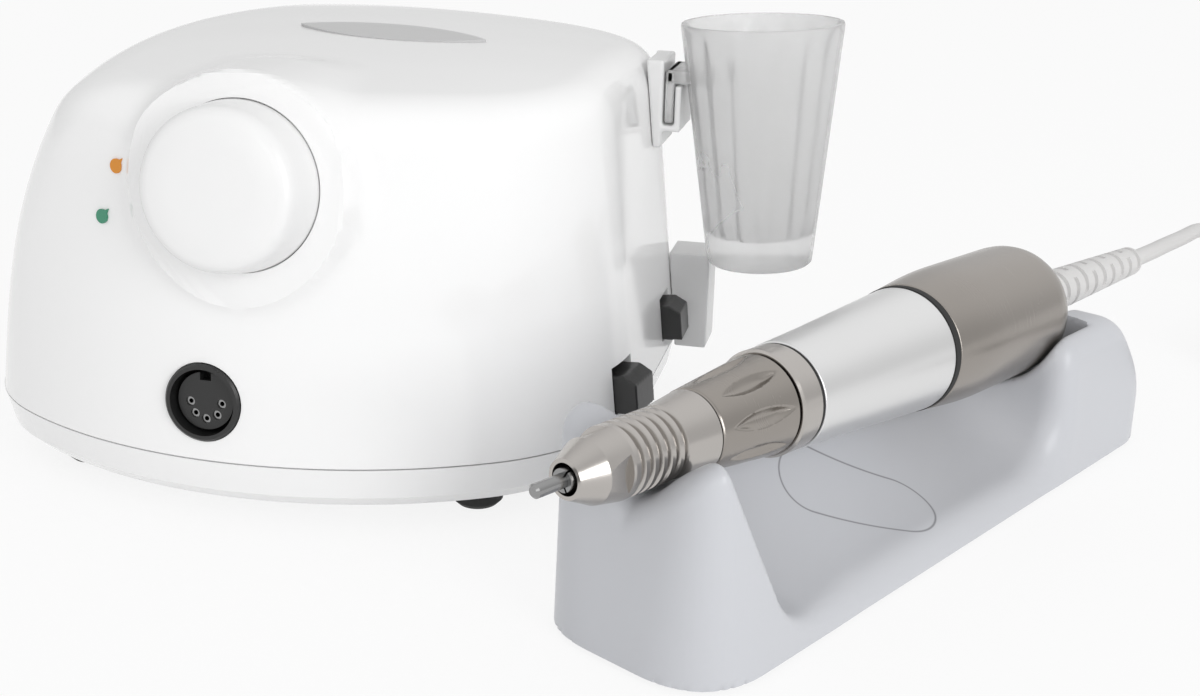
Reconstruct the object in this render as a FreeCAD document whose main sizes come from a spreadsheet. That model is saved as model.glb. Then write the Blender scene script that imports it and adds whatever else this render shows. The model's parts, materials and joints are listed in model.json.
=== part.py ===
import FreeCAD, Part
import math
import os
import re
import Sketcher
from FreeCAD import Placement, Rotation, Vector

# Nail drill machine: a pebble-shaped control box with a speed knob and a bur cup,
# and a handpiece that lies in a cradle. Millimetres, +Z up, +X to the box's right,
# -Y to the front, origin under the middle of the machine on the table.

doc = FreeCAD.newDocument("nail_drill_machine")
sheet = doc.addObject("Spreadsheet::Sheet", "Sizes")

SIZES = [
    # control box: where it stands, outline at the seam, height
    ("box_x", -53.8), ("box_y", 25.3),
    ("foot_height", 5), ("seam_height", 14), ("seam_gap", 0.3),
    ("half_width", 69), ("front_depth", 69), ("back_depth", 59), ("front_bow", 95),
    ("front_corner", 42), ("back_corner", 34),
    ("wall_draft", 6), ("shoulder_draft", 27), ("brow_draft", 62),
    ("shoulder_height", 74.6), ("brow_height", 78.6),
    ("crown_height", 86.4), ("crown_radius", 445), ("crown_x", -4.7), ("crown_y", 9.3),
    ("flank_radius", 173), ("flank_x", 99), ("flank_height", -16),
    ("wall", 3), ("roof", 4),
    ("keel_draft", 12), ("bilge_draft", 45), ("bilge_height", 7.5),
    ("tray_floor", 2.5), ("lip_height", 2), ("lip_wall", 1.5), ("lip_gap", 0.15),
    # feet, screws and posts
    ("foot_radius", 5), ("foot_x", 42), ("foot_front", 44), ("foot_back", 40),
    ("post_front_x", 32), ("post_front", 54), ("post_back_x", 50), ("post_back", 36), ("post_radius", 4),
    ("screw_radius", 1.45), ("screw_head", 2.9), ("screw_reach", 19), ("fit_gap", 0.05),
    # speed knob, its dish and its potentiometer
    ("dish_x", 3.6), ("dish_back", 5.3), ("dish_below", 20.8), ("dish_tilt", 8), ("dish_radius", 20.5),
    ("dish_wall", 3), ("dish_rim", 1.4), ("dish_flare", 20),
    ("knob_radius", 15.8), ("knob_face", 14.2), ("knob_height", 10.2), ("knob_crown", 0.9),
    ("knob_gap", 0.5), ("knob_hub", 6.4),
    ("pot_shaft_radius", 3), ("pot_bush_radius", 4.2), ("pot_radius", 8.5), ("pot_depth", 8),
    ("pot_nut_radius", 5.8), ("pot_nut_height", 2),
    # handpiece socket on the front
    ("din_x", -3.8), ("din_z", 25.1), ("din_radius", 7.45), ("din_bore", 6.35), ("din_insert", 5.5),
    ("din_length", 17), ("din_proud", 0.6), ("din_depth", 9), ("din_pin_circle", 3.1),
    ("din_pin_radius", 0.75),
    # indicator lamps
    ("amber_x", -21.3), ("amber_back", 8.15), ("amber_below", 19.5), ("amber_turn", -104),
    ("green_x", -25), ("green_back", 8.1), ("green_below", 29.2), ("green_turn", -106),
    ("lamp_radius", 1.35), ("lamp_tip", 2.2), ("lamp_length", 7), ("lamp_proud", 0.4),
    # badge plate on the roof
    ("badge_x", 12), ("badge_y", -5), ("badge_length", 40), ("badge_width", 17),
    ("badge_depth", 1.3), ("badge_turn", 2),
    # rocker switches in the right wall
    ("lever_width", 9.6), ("lever_length", 8), ("lever_proud", 4.5), ("lever_gap", 0.35),
    ("lever_travel", 1.3), ("lever_pivot", 6), ("lever_pin", 1), ("switch_wall", 1.4),
    ("switch_depth", 12), ("direction_z", 20.5), ("direction_turn", -10), ("power_y", 17.5),
    ("power_z", 21.5), ("switch_gap", 0.6),
    # back wall: mains inlet, fuse, pedal jack
    ("inlet_x", 18), ("inlet_z", 30), ("inlet_width", 21), ("inlet_height", 12), ("inlet_depth", 16),
    ("fuse_x", -8), ("fuse_z", 30), ("fuse_radius", 6), ("fuse_length", 26),
    ("jack_x", -26), ("jack_z", 30), ("jack_radius", 5.5), ("jack_bore", 3.2), ("jack_depth", 18),
    # bur cup, its hook and the bracket that holds it
    ("cup_out", 16.9), ("cup_y", 23.2), ("cup_rim_z", 88.4), ("cup_radius", 17.7), ("cup_foot", 11.8),
    ("cup_height", 53.3), ("cup_lean", 2.6), ("cup_wall", 1.4), ("cup_floor", 1.6), ("cup_band", 6),
    ("cup_lip", 3), ("cup_flutes", 24),
    ("bracket_width", 16), ("bracket_y", 23), ("bracket_low", 61), ("bracket_high", 80),
    ("bracket_in", 3), ("hook_wall", 2), ("hook_gap", 0.35), ("hook_low", 66),
    ("hook_lip", 1.3), ("hook_lip_top", 74.6), ("hook_bridge", 3),
    ("prop_out", 2), ("prop_thick", 5.5), ("prop_y", 33), ("prop_width", 12), ("prop_low", 11.5),
    ("prop_high", 34),
    # mains transformer, circuit board and what stands on it
    ("core_x", -28), ("core_y", 8), ("core_length", 48), ("core_width", 22), ("core_height", 40),
    ("core_limb", 8), ("coil_gap", 0.3), ("coil_swell", 9), ("bracket_sheet", 1.2), ("core_lift", 1.4),
    ("board_x", 26), ("board_y", -8), ("board_length", 40), ("board_width", 70), ("board_sheet", 1.6),
    ("board_lift", 7), ("can_radius", 6.5), ("can_height", 22), ("sink_height", 30), ("sink_fins", 7),
    ("sink_length", 30), ("sink_depth", 12), ("fin", 1.4), ("board_screw", 1.3),
    # cradle
    ("cradle_x", 43), ("cradle_y", -78.3), ("cradle_turn", 59.9),
    ("cradle_length", 158), ("cradle_width", 33.5), ("cradle_draft", 3.5), ("cradle_lift", 0.8),
    ("horn_height", 41.5), ("horn_length", 7), ("saddle_height", 31), ("hump_height", 30.7),
    ("cradle_nose", 6), ("cradle_heel", 10), ("tail_start", 139), ("tail_height", 20.5),
    ("tail_run", 8.5), ("seat_radius", 7.6), ("seat_length", 12), ("seat_gap", 1.35), ("rest_gap", 0.3),
    ("scoop_across", -5.6), ("scoop_height", 42.8), ("scoop_start", 7.4), ("scoop_bottom", 36),
    ("scoop_radius", 38.5), ("scoop_turn", 29), ("scoop_sweep", 158.7), ("scoop_end", 121.8),
    ("cradle_plate", 3), ("cradle_rim", 2), ("cradle_foot", 4), ("cradle_foot_in", 10),
    ("cradle_screw_in", 26),
    # handpiece: axis, then stations measured back from the nose tip, and radii
    ("hand_s", -15.2), ("hand_across", 16.75), ("hand_height", 36.8), ("hand_slope", 1.5),
    ("nose_end", 28.9), ("ring_start", 29.2), ("ring_end", 47.6), ("band_end", 53.2), ("seal", 0.6),
    ("sleeve_end", 92.9), ("motor_start", 94.5), ("motor_end", 141.5), ("boot_end", 197.2),
    ("nose_tip", 3.25), ("nose_neck", 5.1), ("nose_body", 6.1), ("groove_start", 10.3),
    ("groove_pitch", 2.05), ("groove_depth", 0.6), ("groove_count", 6),
    ("ring_front", 7.1), ("ring_rear", 8.9), ("scoop_count", 8), ("scoop_ball", 55),
    ("scoop_sink", 0.35), ("scoop_at", 39.3),
    ("band_radius", 9.5), ("sleeve_front", 9.65), ("sleeve_mid", 10.4), ("sleeve_rear", 12.1),
    ("motor_front", 12.4), ("motor_radius", 13.6), ("motor_round", 5), ("motor_can", 11.8),
    ("motor_wall", 1.4), ("can_start", 106.5), ("can_end", 132.7),
    ("bore", 3.9), ("spigot", 5.2), ("spindle_radius", 2.75), ("spindle_start", 8.4),
    ("bearing_length", 4), ("bearing_front", 20), ("bearing_rear", 50),
    ("collet_radius", 2.3), ("collet_tip", 2.2), ("collet_bore", 1.2), ("bur_radius", 1.175),
    ("bur_proud", 6.7), ("bur_depth", 7.5),
    ("boot_radius", 5.2), ("boot_tip", 3.5), ("boot_ribs", 10), ("boot_groove", 1), ("boot_flange", 6.6),
    # lead, its coil and the plug
    ("cord", 4), ("coil_x", 175.2), ("coil_y", 115.3), ("coil_outer", 29.8), ("coil_pitch", 4.55),
    ("coil_layer", 4.5), ("coil_turns", 3.5),
    ("plug_radius", 6.25), ("plug_length", 14), ("plug_boot", 26), ("plug_pin", 0.7),
    ("plug_pin_length", 8), ("plug_wall", 0.6), ("plug_across", 6), ("cord_exit", 10.6), ("coil_entry", 20),
]


for row, (alias, number) in enumerate(SIZES, 1):
    sheet.set("A%d" % row, alias)
    sheet.set("B%d" % row, str(number))
    sheet.setAlias("B%d" % row, alias)
doc.recompute()

NODES = []
UP = Vector(0, 0, 1)


def cell(text):
    """A size written in words becomes an expression on the sheet's cells."""
    return re.sub(r"\b(?!deg\b)[a-z_]\w*\b(?!\()", r"Sizes.\g<0>", str(text))


def value(text):
    number = sheet.evalExpression(cell(text))
    return float(getattr(number, "Value", number))


def spot(x, y, z):
    return Vector(value(x), value(y), value(z))


def solid(kind, at=(0, 0, 0), turn=None, **sizes):
    """A primitive whose sizes and place are bound to the sheet."""
    item = doc.addObject("Part::" + kind, kind)
    for name, text in sizes.items():
        item.setExpression(name, cell(text))
    item.Placement = Placement(spot(*at), turn or Rotation())
    for way, text in zip("xyz", at):
        item.setExpression("Placement.Base." + way, cell(text))
    return item


def block(centre, low, size):
    """A box by the centre of its floor (x, y), its floor height and its three sizes."""
    length, width, height = size
    x, y = centre
    return solid("Box", ("%s - (%s) / 2" % (x, length), "%s - (%s) / 2" % (y, width), low),
                 Length=length, Width=width, Height=height)


def rod(radius, height, at=(0, 0, 0), turn=None):
    return solid("Cylinder", at, turn, Radius=radius, Height=height)


def gather(kind, items, place=None):
    """Several shapes fused, taken in common or kept as one group of separate solids."""
    item = doc.addObject("Part::" + kind, kind)
    setattr(item, "Links" if kind == "Compound" else "Shapes", list(items))
    item.Placement = place or Placement()
    return item


def fuse(*items, place=None):
    return gather("MultiFuse", items, place)


def common(*items, place=None):
    return gather("MultiCommon", items, place)


def group(*items, place=None):
    return gather("Compound", items, place)


def cut(base, *tools, place=None):
    item = doc.addObject("Part::Cut", "Cut")
    item.Base = base
    item.Tool = tools[0] if len(tools) == 1 else group(*tools)
    item.Placement = place or Placement()
    return item


def copies(base, places):
    """Identical pieces, one separate solid at each place."""
    item = doc.addObject("Part::Feature", "Copies")
    doc.recompute()
    shapes = []
    for place in places:
        shape = base.Shape.copy()
        shape.Placement = place.multiply(base.Placement)
        shapes.append(shape)
    item.Shape = Part.makeCompound(shapes)
    return item


def drawing(body, role):
    sketch = body.newObject("Sketcher::SketchObject", "Profile")
    plane = next(item for item in body.Origin.OriginFeatures if item.Role == role)
    sketch.AttachmentSupport = [(plane, "")]
    sketch.MapMode = "FlatFace"
    return sketch


def hold(sketch, index, end, x, y):
    """Fix one end of an edge at sizes from the sheet."""
    for kind, text, axis in (("DistanceX", x, -2), ("DistanceY", y, -1)):
        number = value(text)
        if abs(number) < 1e-9:
            sketch.addConstraint(Sketcher.Constraint("PointOnObject", index, end, axis))
            continue
        ends = (-1, 1, index, end) if number > 0 else (index, end, -1, 1)
        text = text if number > 0 else "-(%s)" % text
        order = sketch.addConstraint(Sketcher.Constraint(kind, *ends, abs(number)))
        sketch.setExpression("Constraints[%d]" % order, cell(text))


def polygon(sketch, points):
    corners = [Vector(value(x), value(y), 0) for x, y in points]
    count = len(corners)
    for index in range(count):
        sketch.addGeometry(Part.LineSegment(corners[index], corners[(index + 1) % count]))
    for index in range(count):
        sketch.addConstraint(Sketcher.Constraint("Coincident", index, 2, (index + 1) % count, 1))
    for index, (x, y) in enumerate(points):
        hold(sketch, index, 1, x, y)


def turned(points, place=None):
    """A turned piece: its half section (radius, height) spun about its own Z axis."""
    body = doc.addObject("PartDesign::Body", "Body")
    sketch = drawing(body, "XZ_Plane")
    polygon(sketch, points)
    spin = body.newObject("PartDesign::Revolution", "Spin")
    spin.Profile = sketch
    spin.ReferenceAxis = (sketch, ["V_Axis"])
    spin.Angle = 360
    body.Placement = place or Placement()
    return body


def plate(points, height, place=None, role="XY_Plane"):
    """A flat outline padded to a height."""
    body = doc.addObject("PartDesign::Body", "Body")
    sketch = drawing(body, role)
    polygon(sketch, points)
    pad = body.newObject("PartDesign::Pad", "Pad")
    pad.Profile = sketch
    pad.setExpression("Length", cell(height))
    body.Placement = place or Placement()
    return body


def facing(where, heading, rise=0):
    """A place whose Z axis leaves a wall, X runs to the right along it and Y goes up it."""
    a, e = math.radians(heading), math.radians(rise)
    out = Vector(math.cos(a) * math.cos(e), math.sin(a) * math.cos(e), math.sin(e))
    right = Vector(-math.sin(a), math.cos(a), 0)
    return Placement(where, Rotation(right, out.cross(right), out, "ZXY"))


def node(label, item, frame=None):
    """Name a finished piece and set it down in the machine's frame."""
    item.Label = label
    if frame:
        item.Placement = frame.multiply(item.Placement)
    NODES.append(item)
    return item


BOX = Placement(spot("box_x", "box_y", 0), Rotation())
CRADLE = Placement(spot("cradle_x", "cradle_y", 0), Rotation(UP, value("cradle_turn")))
HAND = CRADLE.multiply(Placement(spot("hand_s", "hand_across", "hand_height"),
                                 Rotation(Vector(0, 1, 0), 90 + value("hand_slope"))))


# Control box shell


def set_radius(sketch, index, text):
    order = sketch.addConstraint(Sketcher.Constraint("Radius", index, value(text)))
    sketch.setExpression("Constraints[%d]" % order, cell(text))


def drafted(body, sketch, draft, low, high, down):
    """A sketch raised or sunk into a block whose walls lean in."""
    pad = body.newObject("PartDesign::Pad", "Pad")
    pad.Profile = sketch
    pad.setExpression("Length", cell(high))
    pad.setExpression("TaperAngle", cell("-(%s)" % draft))
    pad.Reversed = down
    body.Placement = Placement(spot(0, 0, low), Rotation())
    return body


def rounded_pad(corners, inset, draft, low, high):
    """A drafted block on a rounded outline: four corner arcs (centre, radius, start angle)."""
    body = doc.addObject("PartDesign::Body", "Body")
    sketch = drawing(body, "XY_Plane")
    arcs = []
    for x, y, radius, start in corners:
        circle = Part.Circle(Vector(value(x), value(y), 0), UP, value("%s - (%s)" % (radius, inset)))
        arcs.append(Part.ArcOfCircle(circle, math.radians(start), math.radians(start + 90)))
    for arc in arcs:
        sketch.addGeometry(arc)
    for index, arc in enumerate(arcs):
        sketch.addGeometry(Part.LineSegment(arc.EndPoint, arcs[(index + 1) % 4].StartPoint))
    for index in range(4):
        sketch.addConstraint(Sketcher.Constraint("Coincident", index, 2, 4 + index, 1))
        sketch.addConstraint(Sketcher.Constraint("Coincident", 4 + index, 2, (index + 1) % 4, 1))
    for index, (x, y, radius, start) in enumerate(corners):
        hold(sketch, index, 3, x, y)
        set_radius(sketch, index, "%s - (%s)" % (radius, inset))
        for end, angle in ((1, start), (2, start + 90)):
            kind = "Horizontal" if angle % 180 == 0 else "Vertical"
            sketch.addConstraint(Sketcher.Constraint(kind, index, 3, index, end))
    return drafted(body, sketch, draft, low, high, False)


CORNER_X = "(half_width - front_corner)"
CORNER_Y = "(front_bow - front_depth - sqrt((front_bow - front_corner) ^ 2 - %s ^ 2))" % CORNER_X


def pebble_wall(draft, inset, low="seam_height", high="crown_height + 6 - seam_height", down=False):
    """A drafted block on the box's outline, drawn in by an inset: a bowed front that runs
    into the front corners, straight sides and back, and tighter back corners."""
    body = doc.addObject("PartDesign::Body", "Body")
    sketch = drawing(body, "XY_Plane")
    lean = math.degrees(math.asin(value("%s / (front_bow - front_corner)" % CORNER_X)))
    rounds = [("-%s" % CORNER_X, CORNER_Y, "front_corner", 180, 270 - lean),
              ("0", "front_bow - front_depth", "front_bow", 270 - lean, 270 + lean),
              (CORNER_X, CORNER_Y, "front_corner", 270 + lean, 360),
              ("half_width - back_corner", "back_depth - back_corner", "back_corner", 0, 90),
              ("-(half_width - back_corner)", "back_depth - back_corner", "back_corner", 90, 180)]
    ends = []
    for x, y, radius, start, end in rounds:
        circle = Part.Circle(Vector(value(x), value(y), 0), UP, value("%s - (%s)" % (radius, inset)))
        arc = Part.ArcOfCircle(circle, math.radians(start), math.radians(end))
        ends.append((arc.StartPoint, arc.EndPoint))
        sketch.addGeometry(arc)
    for first, last in ((2, 3), (3, 4), (4, 0)):
        sketch.addGeometry(Part.LineSegment(ends[first][1], ends[last][0]))
    for line, first, last in ((5, 2, 3), (6, 3, 4), (7, 4, 0)):
        sketch.addConstraint(Sketcher.Constraint("Coincident", first, 2, line, 1))
        sketch.addConstraint(Sketcher.Constraint("Coincident", line, 2, last, 1))
    for index, (x, y, radius, start, end) in enumerate(rounds):
        set_radius(sketch, index, "%s - (%s)" % (radius, inset))
    for index in (1, 3, 4):
        hold(sketch, index, 3, rounds[index][0], rounds[index][1])
    for first in (0, 1):
        sketch.addConstraint(Sketcher.Constraint("Tangent", first, 2, first + 1, 1))
    for span in ((0, 3, -1, 1), (-1, 1, 2, 3)):
        order = sketch.addConstraint(Sketcher.Constraint("DistanceX", *span, value(CORNER_X)))
        sketch.setExpression("Constraints[%d]" % order, cell(CORNER_X))
    for index, end in ((0, 1), (2, 2), (3, 1), (4, 2)):
        sketch.addConstraint(Sketcher.Constraint("Horizontal", index, 3, index, end))
    for index, end in ((3, 2), (4, 1)):
        sketch.addConstraint(Sketcher.Constraint("Vertical", index, 3, index, end))
    return drafted(body, sketch, draft, low, high, down)


def pebble(thick, roof):
    """The box's outer form, or its hollow when both thicknesses are set."""
    faces = []
    for draft, height in (("wall_draft", "seam_height"), ("shoulder_draft", "shoulder_height"),
                          ("brow_draft", "brow_height")):
        inset = WALL_INSET[draft] + " + (%s) / cos(%s * 1 deg)" % (thick, draft)
        faces.append(pebble_wall(draft, inset))
    side = Rotation(Vector(0, 1, 0), 90)
    faces.append(solid("Sphere", ("flank_x", 0, "flank_height"), side,
                       Radius="flank_radius - (%s)" % thick))
    over = Rotation(Vector(1, 0, 0), 90)
    faces.append(solid("Sphere", ("crown_x", "crown_y", "crown_height - crown_radius"), over,
                       Radius="crown_radius - (%s)" % roof))
    return common(*faces)


SHOULDER_INSET = "(shoulder_height - seam_height) * tan(wall_draft * 1 deg)"
BROW_INSET = SHOULDER_INSET + " + (brow_height - shoulder_height) * tan(shoulder_draft * 1 deg)"
WALL_INSET = {
    "wall_draft": "0",
    "shoulder_draft": SHOULDER_INSET + " - (shoulder_height - seam_height) * tan(shoulder_draft * 1 deg)",
    "brow_draft": BROW_INSET + " - (brow_height - seam_height) * tan(brow_draft * 1 deg)",
}


def wall_x(height):
    return "half_width - (%s - seam_height) * tan(wall_draft * 1 deg)" % height


def front_y(height):
    return "-(front_depth - (%s - seam_height) * tan(wall_draft * 1 deg))" % height


def back_y(height):
    return "back_depth - (%s - seam_height) * tan(wall_draft * 1 deg)" % height


DISH = facing(spot("dish_x", "dish_back - front_depth", "crown_height - dish_below"), -90,
              value("dish_tilt"))
DRAFT = value("wall_draft")
SOCKET = facing(spot("din_x", front_y("din_z"), "din_z"), -90, DRAFT)
CORNER_REACH = "(front_corner - (direction_z - seam_height) * tan(wall_draft * 1 deg))"
DIRECTION = facing(spot("%s + %s * cos(direction_turn * 1 deg)" % (CORNER_X, CORNER_REACH),
                        "%s + %s * sin(direction_turn * 1 deg)" % (CORNER_Y, CORNER_REACH), "direction_z"),
                   value("direction_turn"), DRAFT)
POWER = facing(spot(wall_x("power_z"), "power_y", "power_z"), 0, DRAFT)
INLET = facing(spot("inlet_x", back_y("inlet_z"), "inlet_z"), 90, DRAFT)
FUSE = facing(spot("fuse_x", back_y("fuse_z"), "fuse_z"), 90, DRAFT)
JACK = facing(spot("jack_x", back_y("jack_z"), "jack_z"), 90, DRAFT)
AMBER = facing(spot("amber_x", "amber_back - front_depth", "crown_height - amber_below"),
               value("amber_turn"), DRAFT)
GREEN = facing(spot("green_x", "green_back - front_depth", "crown_height - green_below"),
               value("green_turn"), DRAFT)
BADGE_NORMAL = spot("badge_x - crown_x", "badge_y - crown_y",
                    "sqrt(crown_radius ^ 2 - (badge_x - crown_x) ^ 2 - (badge_y - crown_y) ^ 2)")
BADGE = Placement(spot("badge_x", "badge_y", "crown_height - crown_radius") + Vector(0, 0, BADGE_NORMAL.z),
                  Rotation(UP, BADGE_NORMAL).multiply(Rotation(UP, value("badge_turn"))))
POSTS = [("-post_front_x", "-post_front"), ("post_front_x", "-post_front"), ("-post_back_x", "post_back"),
         ("post_back_x", "post_back")]


def teardrop(grow, low, height):
    """A lamp lens: round, with one pointed side."""
    radius = "lamp_radius + %s" % grow
    tip = "lamp_tip + %s" % grow
    wedge = plate([("-0.9 * (%s)" % radius, "0.3 * (%s)" % radius),
                   ("0.3 * (%s)" % radius, "-0.9 * (%s)" % radius),
                   ("0.72 * (%s)" % tip, "0.72 * (%s)" % tip)], height)
    wedge.Placement = Placement(spot(0, 0, low), Rotation())
    return fuse(rod(radius, height, (0, 0, low)), wedge)


def pointed_oval(grow, low, height):
    """Two arcs that meet in points: a plate seen from above."""
    half_length = "(badge_length / 2 + %s)" % grow
    half_width = "(badge_width / 2 + %s)" % grow
    radius = "(%s ^ 2 + %s ^ 2) / (2 * %s)" % (half_length, half_width, half_width)
    sides = []
    for sign in ("", "-"):
        sides.append(rod(radius, height, (0, "%s(%s - %s)" % (sign, radius, half_width), low)))
    return common(*sides)


def placed(item, place):
    item.Placement = place.multiply(item.Placement)
    return item


def upper_housing():
    boss = solid("Cone", (0, 0, "-dish_flare"), Radius1="dish_radius + dish_rim", Height="dish_flare",
                 Radius2="dish_radius")
    outer = fuse(pebble("0", "0"), placed(group(boss), DISH))
    shell = cut(outer, pebble("wall", "roof"))
    hollow = rod("dish_radius - wall", "dish_flare", (0, 0, "-dish_wall - dish_flare"))
    shell = cut(shell, placed(group(hollow), DISH))
    backing = placed(group(rod("dish_radius - wall / 2", "dish_wall", (0, 0, "-dish_wall"))), DISH)
    posts = [rod("post_radius", "crown_height", (x, y, "seam_height + lip_height + seam_gap"))
             for x, y in POSTS]
    shell = fuse(shell, backing, common(group(*posts), pebble("wall / 2", "roof / 2")))
    tools = [placed(group(rod("dish_radius", "dish_flare")), DISH),
             placed(group(rod("pot_bush_radius + fit_gap", "3 * dish_wall", (0, 0, "-2 * dish_wall"))),
                    DISH),
             placed(group(rod("din_radius + lip_gap", "4 * wall", (0, 0, "-2 * wall"))), SOCKET),
             placed(group(block((0, 0), "-3 * wall",
                                ("inlet_width + 2 * lip_gap", "inlet_height + 2 * lip_gap",
                                                      "5 * wall"))), INLET),
             placed(group(rod("fuse_radius + lip_gap", "5 * wall", (0, 0, "-3 * wall"))), FUSE),
             placed(group(rod("jack_radius + lip_gap", "5 * wall", (0, 0, "-3 * wall"))), JACK),
             placed(teardrop("lip_gap", "-2 * wall", "3 * wall"), AMBER),
             placed(teardrop("lip_gap", "-2 * wall", "3 * wall"), GREEN),
             placed(pointed_oval("lip_gap", "-badge_depth - badge_length ^ 2 / 8 / crown_radius", "10"),
                    BADGE)]
    for frame in (DIRECTION, POWER):
        slot = block((0, "lever_travel / 2"), "-2 * wall",
                     ("lever_width + 2 * lever_gap", "lever_length + 2 * lever_gap + lever_travel",
                      "4 * wall"))
        tools.append(placed(group(slot), frame))
    for x, y in POSTS:
        tools.append(rod("screw_radius + fit_gap", "screw_reach", (x, y, "foot_height")))
    node("upper_housing", cut(shell, *tools), BOX)


def base_tray():
    top = "seam_height - seam_gap"
    slope = "(bilge_height - (%s)) * tan(bilge_draft * 1 deg)" % top
    keel = pebble_wall("keel_draft", "0", top, top + " - foot_height", True)
    keel_in = "(%s - bilge_height) * tan(keel_draft * 1 deg)" % top
    bilge = pebble_wall("bilge_draft", "%s + %s" % (keel_in, slope), top, top + " - foot_height", True)
    lip_in = "wall / cos(wall_draft * 1 deg) + lip_gap"
    lip = pebble_wall("wall_draft", lip_in, top, "seam_gap + lip_height")
    dish = pebble_wall("0", lip_in + " + lip_wall + lip_height * tan(wall_draft * 1 deg)",
                       "foot_height + tray_floor", "crown_height")
    tray = cut(fuse(common(keel, bilge), lip), dish)
    posts = [rod("post_radius", "seam_height + lip_height - foot_height - tray_floor / 2",
                 (x, y, "foot_height + tray_floor / 2")) for x, y in POSTS]
    tools = []
    for x, y in POSTS:
        tools.append(rod("screw_radius + fit_gap", "seam_height + lip_height", (x, y, 0)))
        tools.append(rod("screw_head + lip_gap", "0.6 * tray_floor + 1.3 * screw_radius + fit_gap",
                         (x, y, "foot_height - 0.5 * tray_floor")))
    for index in range(7):
        tools.append(block(("-18 + %d" % (6 * index), -12), "foot_height - 1", (2.4, 26, "tray_floor + 2")))
    for frame in (DIRECTION, POWER):
        size = ("%s + 0.8" % SWITCH_WIDTH, "%s + 0.8" % SWITCH_LENGTH, "switch_depth + 0.6")
        tools.append(placed(group(block((0, 0), "%s - 0.4" % SWITCH_LOW, size)), frame))
    node("base_tray", cut(fuse(tray, *posts), *tools), BOX)


def small_screw(radius, head, reach):
    """A pan-head screw, tip up."""
    return turned([(0, 0), (head, 0), (head, "0.8 * %s" % radius), (radius, "1.3 * %s" % radius),
                   (radius, reach), (0, reach)])


def box_fasteners():
    foot = turned([(0, 0), ("foot_radius - 1", 0), ("foot_radius", 1), ("foot_radius", "foot_height"),
                   (0, "foot_height")])
    spots = [("-foot_x", "-foot_front"), ("foot_x", "-foot_front"), ("-foot_x", "foot_back"),
             ("foot_x", "foot_back")]
    node("rubber_feet", copies(foot, [Placement(spot(x, y, 0), Rotation()) for x, y in spots]), BOX)
    screw = small_screw("screw_radius", "screw_head", "screw_reach - 2")
    low = "foot_height + 0.1 * tray_floor"
    node("tray_screws", copies(screw, [Placement(spot(x, y, low), Rotation()) for x, y in POSTS]), BOX)


def speed_control():
    nut_room = "pot_nut_height + 2 * knob_gap"
    knob = turned([("pot_shaft_radius + fit_gap", nut_room), ("knob_hub", nut_room),
                   ("knob_hub", "knob_gap"),
                   ("knob_radius - 0.6", "knob_gap"), ("knob_radius", "knob_gap + 0.6"),
                   ("knob_face + 0.4", "knob_height - 1.2"), ("knob_face - 0.8", "knob_height"),
                   (0, "knob_height + knob_crown"), (0, "knob_height - 1"),
                   ("pot_shaft_radius + fit_gap", "knob_height - 1")])
    node("knob_cap", knob, BOX.multiply(DISH))
    shaft = turned([(0, "-dish_wall - pot_depth / 2"), ("pot_shaft_radius", "-dish_wall - pot_depth / 2"),
                    ("pot_shaft_radius", "knob_height - 1.3"), (0, "knob_height - 1.3")])
    node("pot_shaft", shaft, BOX.multiply(DISH))
    inner = "pot_shaft_radius + fit_gap"
    low = "-dish_wall - lip_gap"
    pot = turned([(inner, "pot_nut_height + knob_gap / 2"),
                  ("pot_bush_radius", "pot_nut_height + knob_gap / 2"), ("pot_bush_radius", low),
                  ("pot_radius", low), ("pot_radius", "%s - pot_depth" % low), (0, "%s - pot_depth" % low),
                  (0, "%s - pot_depth / 2 - 0.3" % low), (inner, "%s - pot_depth / 2 - 0.3" % low)])
    lugs = [block(("%d" % x, "-pot_radius - 1.5"), "%s - pot_depth + 1" % low,
                  (1.2, 5, 0.6)) for x in (-4, 0, 4)]
    node("speed_pot", fuse(pot, *lugs), BOX.multiply(DISH))
    nut = solid("Prism", (0, 0, 0.1), Circumradius="pot_nut_radius", Height="pot_nut_height")
    nut.Polygon = 6
    node("pot_nut",
         cut(nut, rod("pot_bush_radius + fit_gap", "3 * pot_nut_height", (0, 0, "-pot_nut_height"))),
         BOX.multiply(DISH))


def handpiece_socket():
    frame = BOX.multiply(SOCKET)
    ring = turned([("din_bore", "din_proud"), ("din_radius - 0.4", "din_proud"),
                   ("din_radius", "din_proud - 0.4"),
                   ("din_radius", "-din_length"), (0, "-din_length"), (0, "-din_depth"),
                   ("din_bore", "-din_depth")])
    insert = rod("din_insert", "din_depth - 1.2", (0, 0, "-din_depth"))
    key = block((0, "din_insert - 0.4"), "-din_depth / 2", (2.2, 2.4, "din_depth"))
    tools = [key]
    for x, y in din_places():
        tools.append(rod("din_pin_radius + 0.15", "din_depth", (x, y, "-din_depth + 1")))
    node("din_socket_body", fuse(ring, cut(insert, *tools)), frame)
    contact = turned([("din_pin_radius - 0.3", -1.6), ("din_pin_radius + 0.1", -1.6),
                      ("din_pin_radius + 0.1", "-din_depth + 1"), (0, "-din_depth + 1"),
                      (0, "-din_depth + 2"), ("din_pin_radius - 0.3", "-din_depth + 2")])
    places = [Placement(spot(x, y, 0), Rotation()) for x, y in din_places()]
    node("din_contacts", copies(contact, places), frame)


def din_places():
    """Five contacts on the lower half circle, 45 degrees apart."""
    for index in range(5):
        turn = "(%d * 45 + 180) * 1 deg" % index
        yield "din_pin_circle * cos(%s)" % turn, "din_pin_circle * sin(%s) - 0.4" % turn


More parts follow.
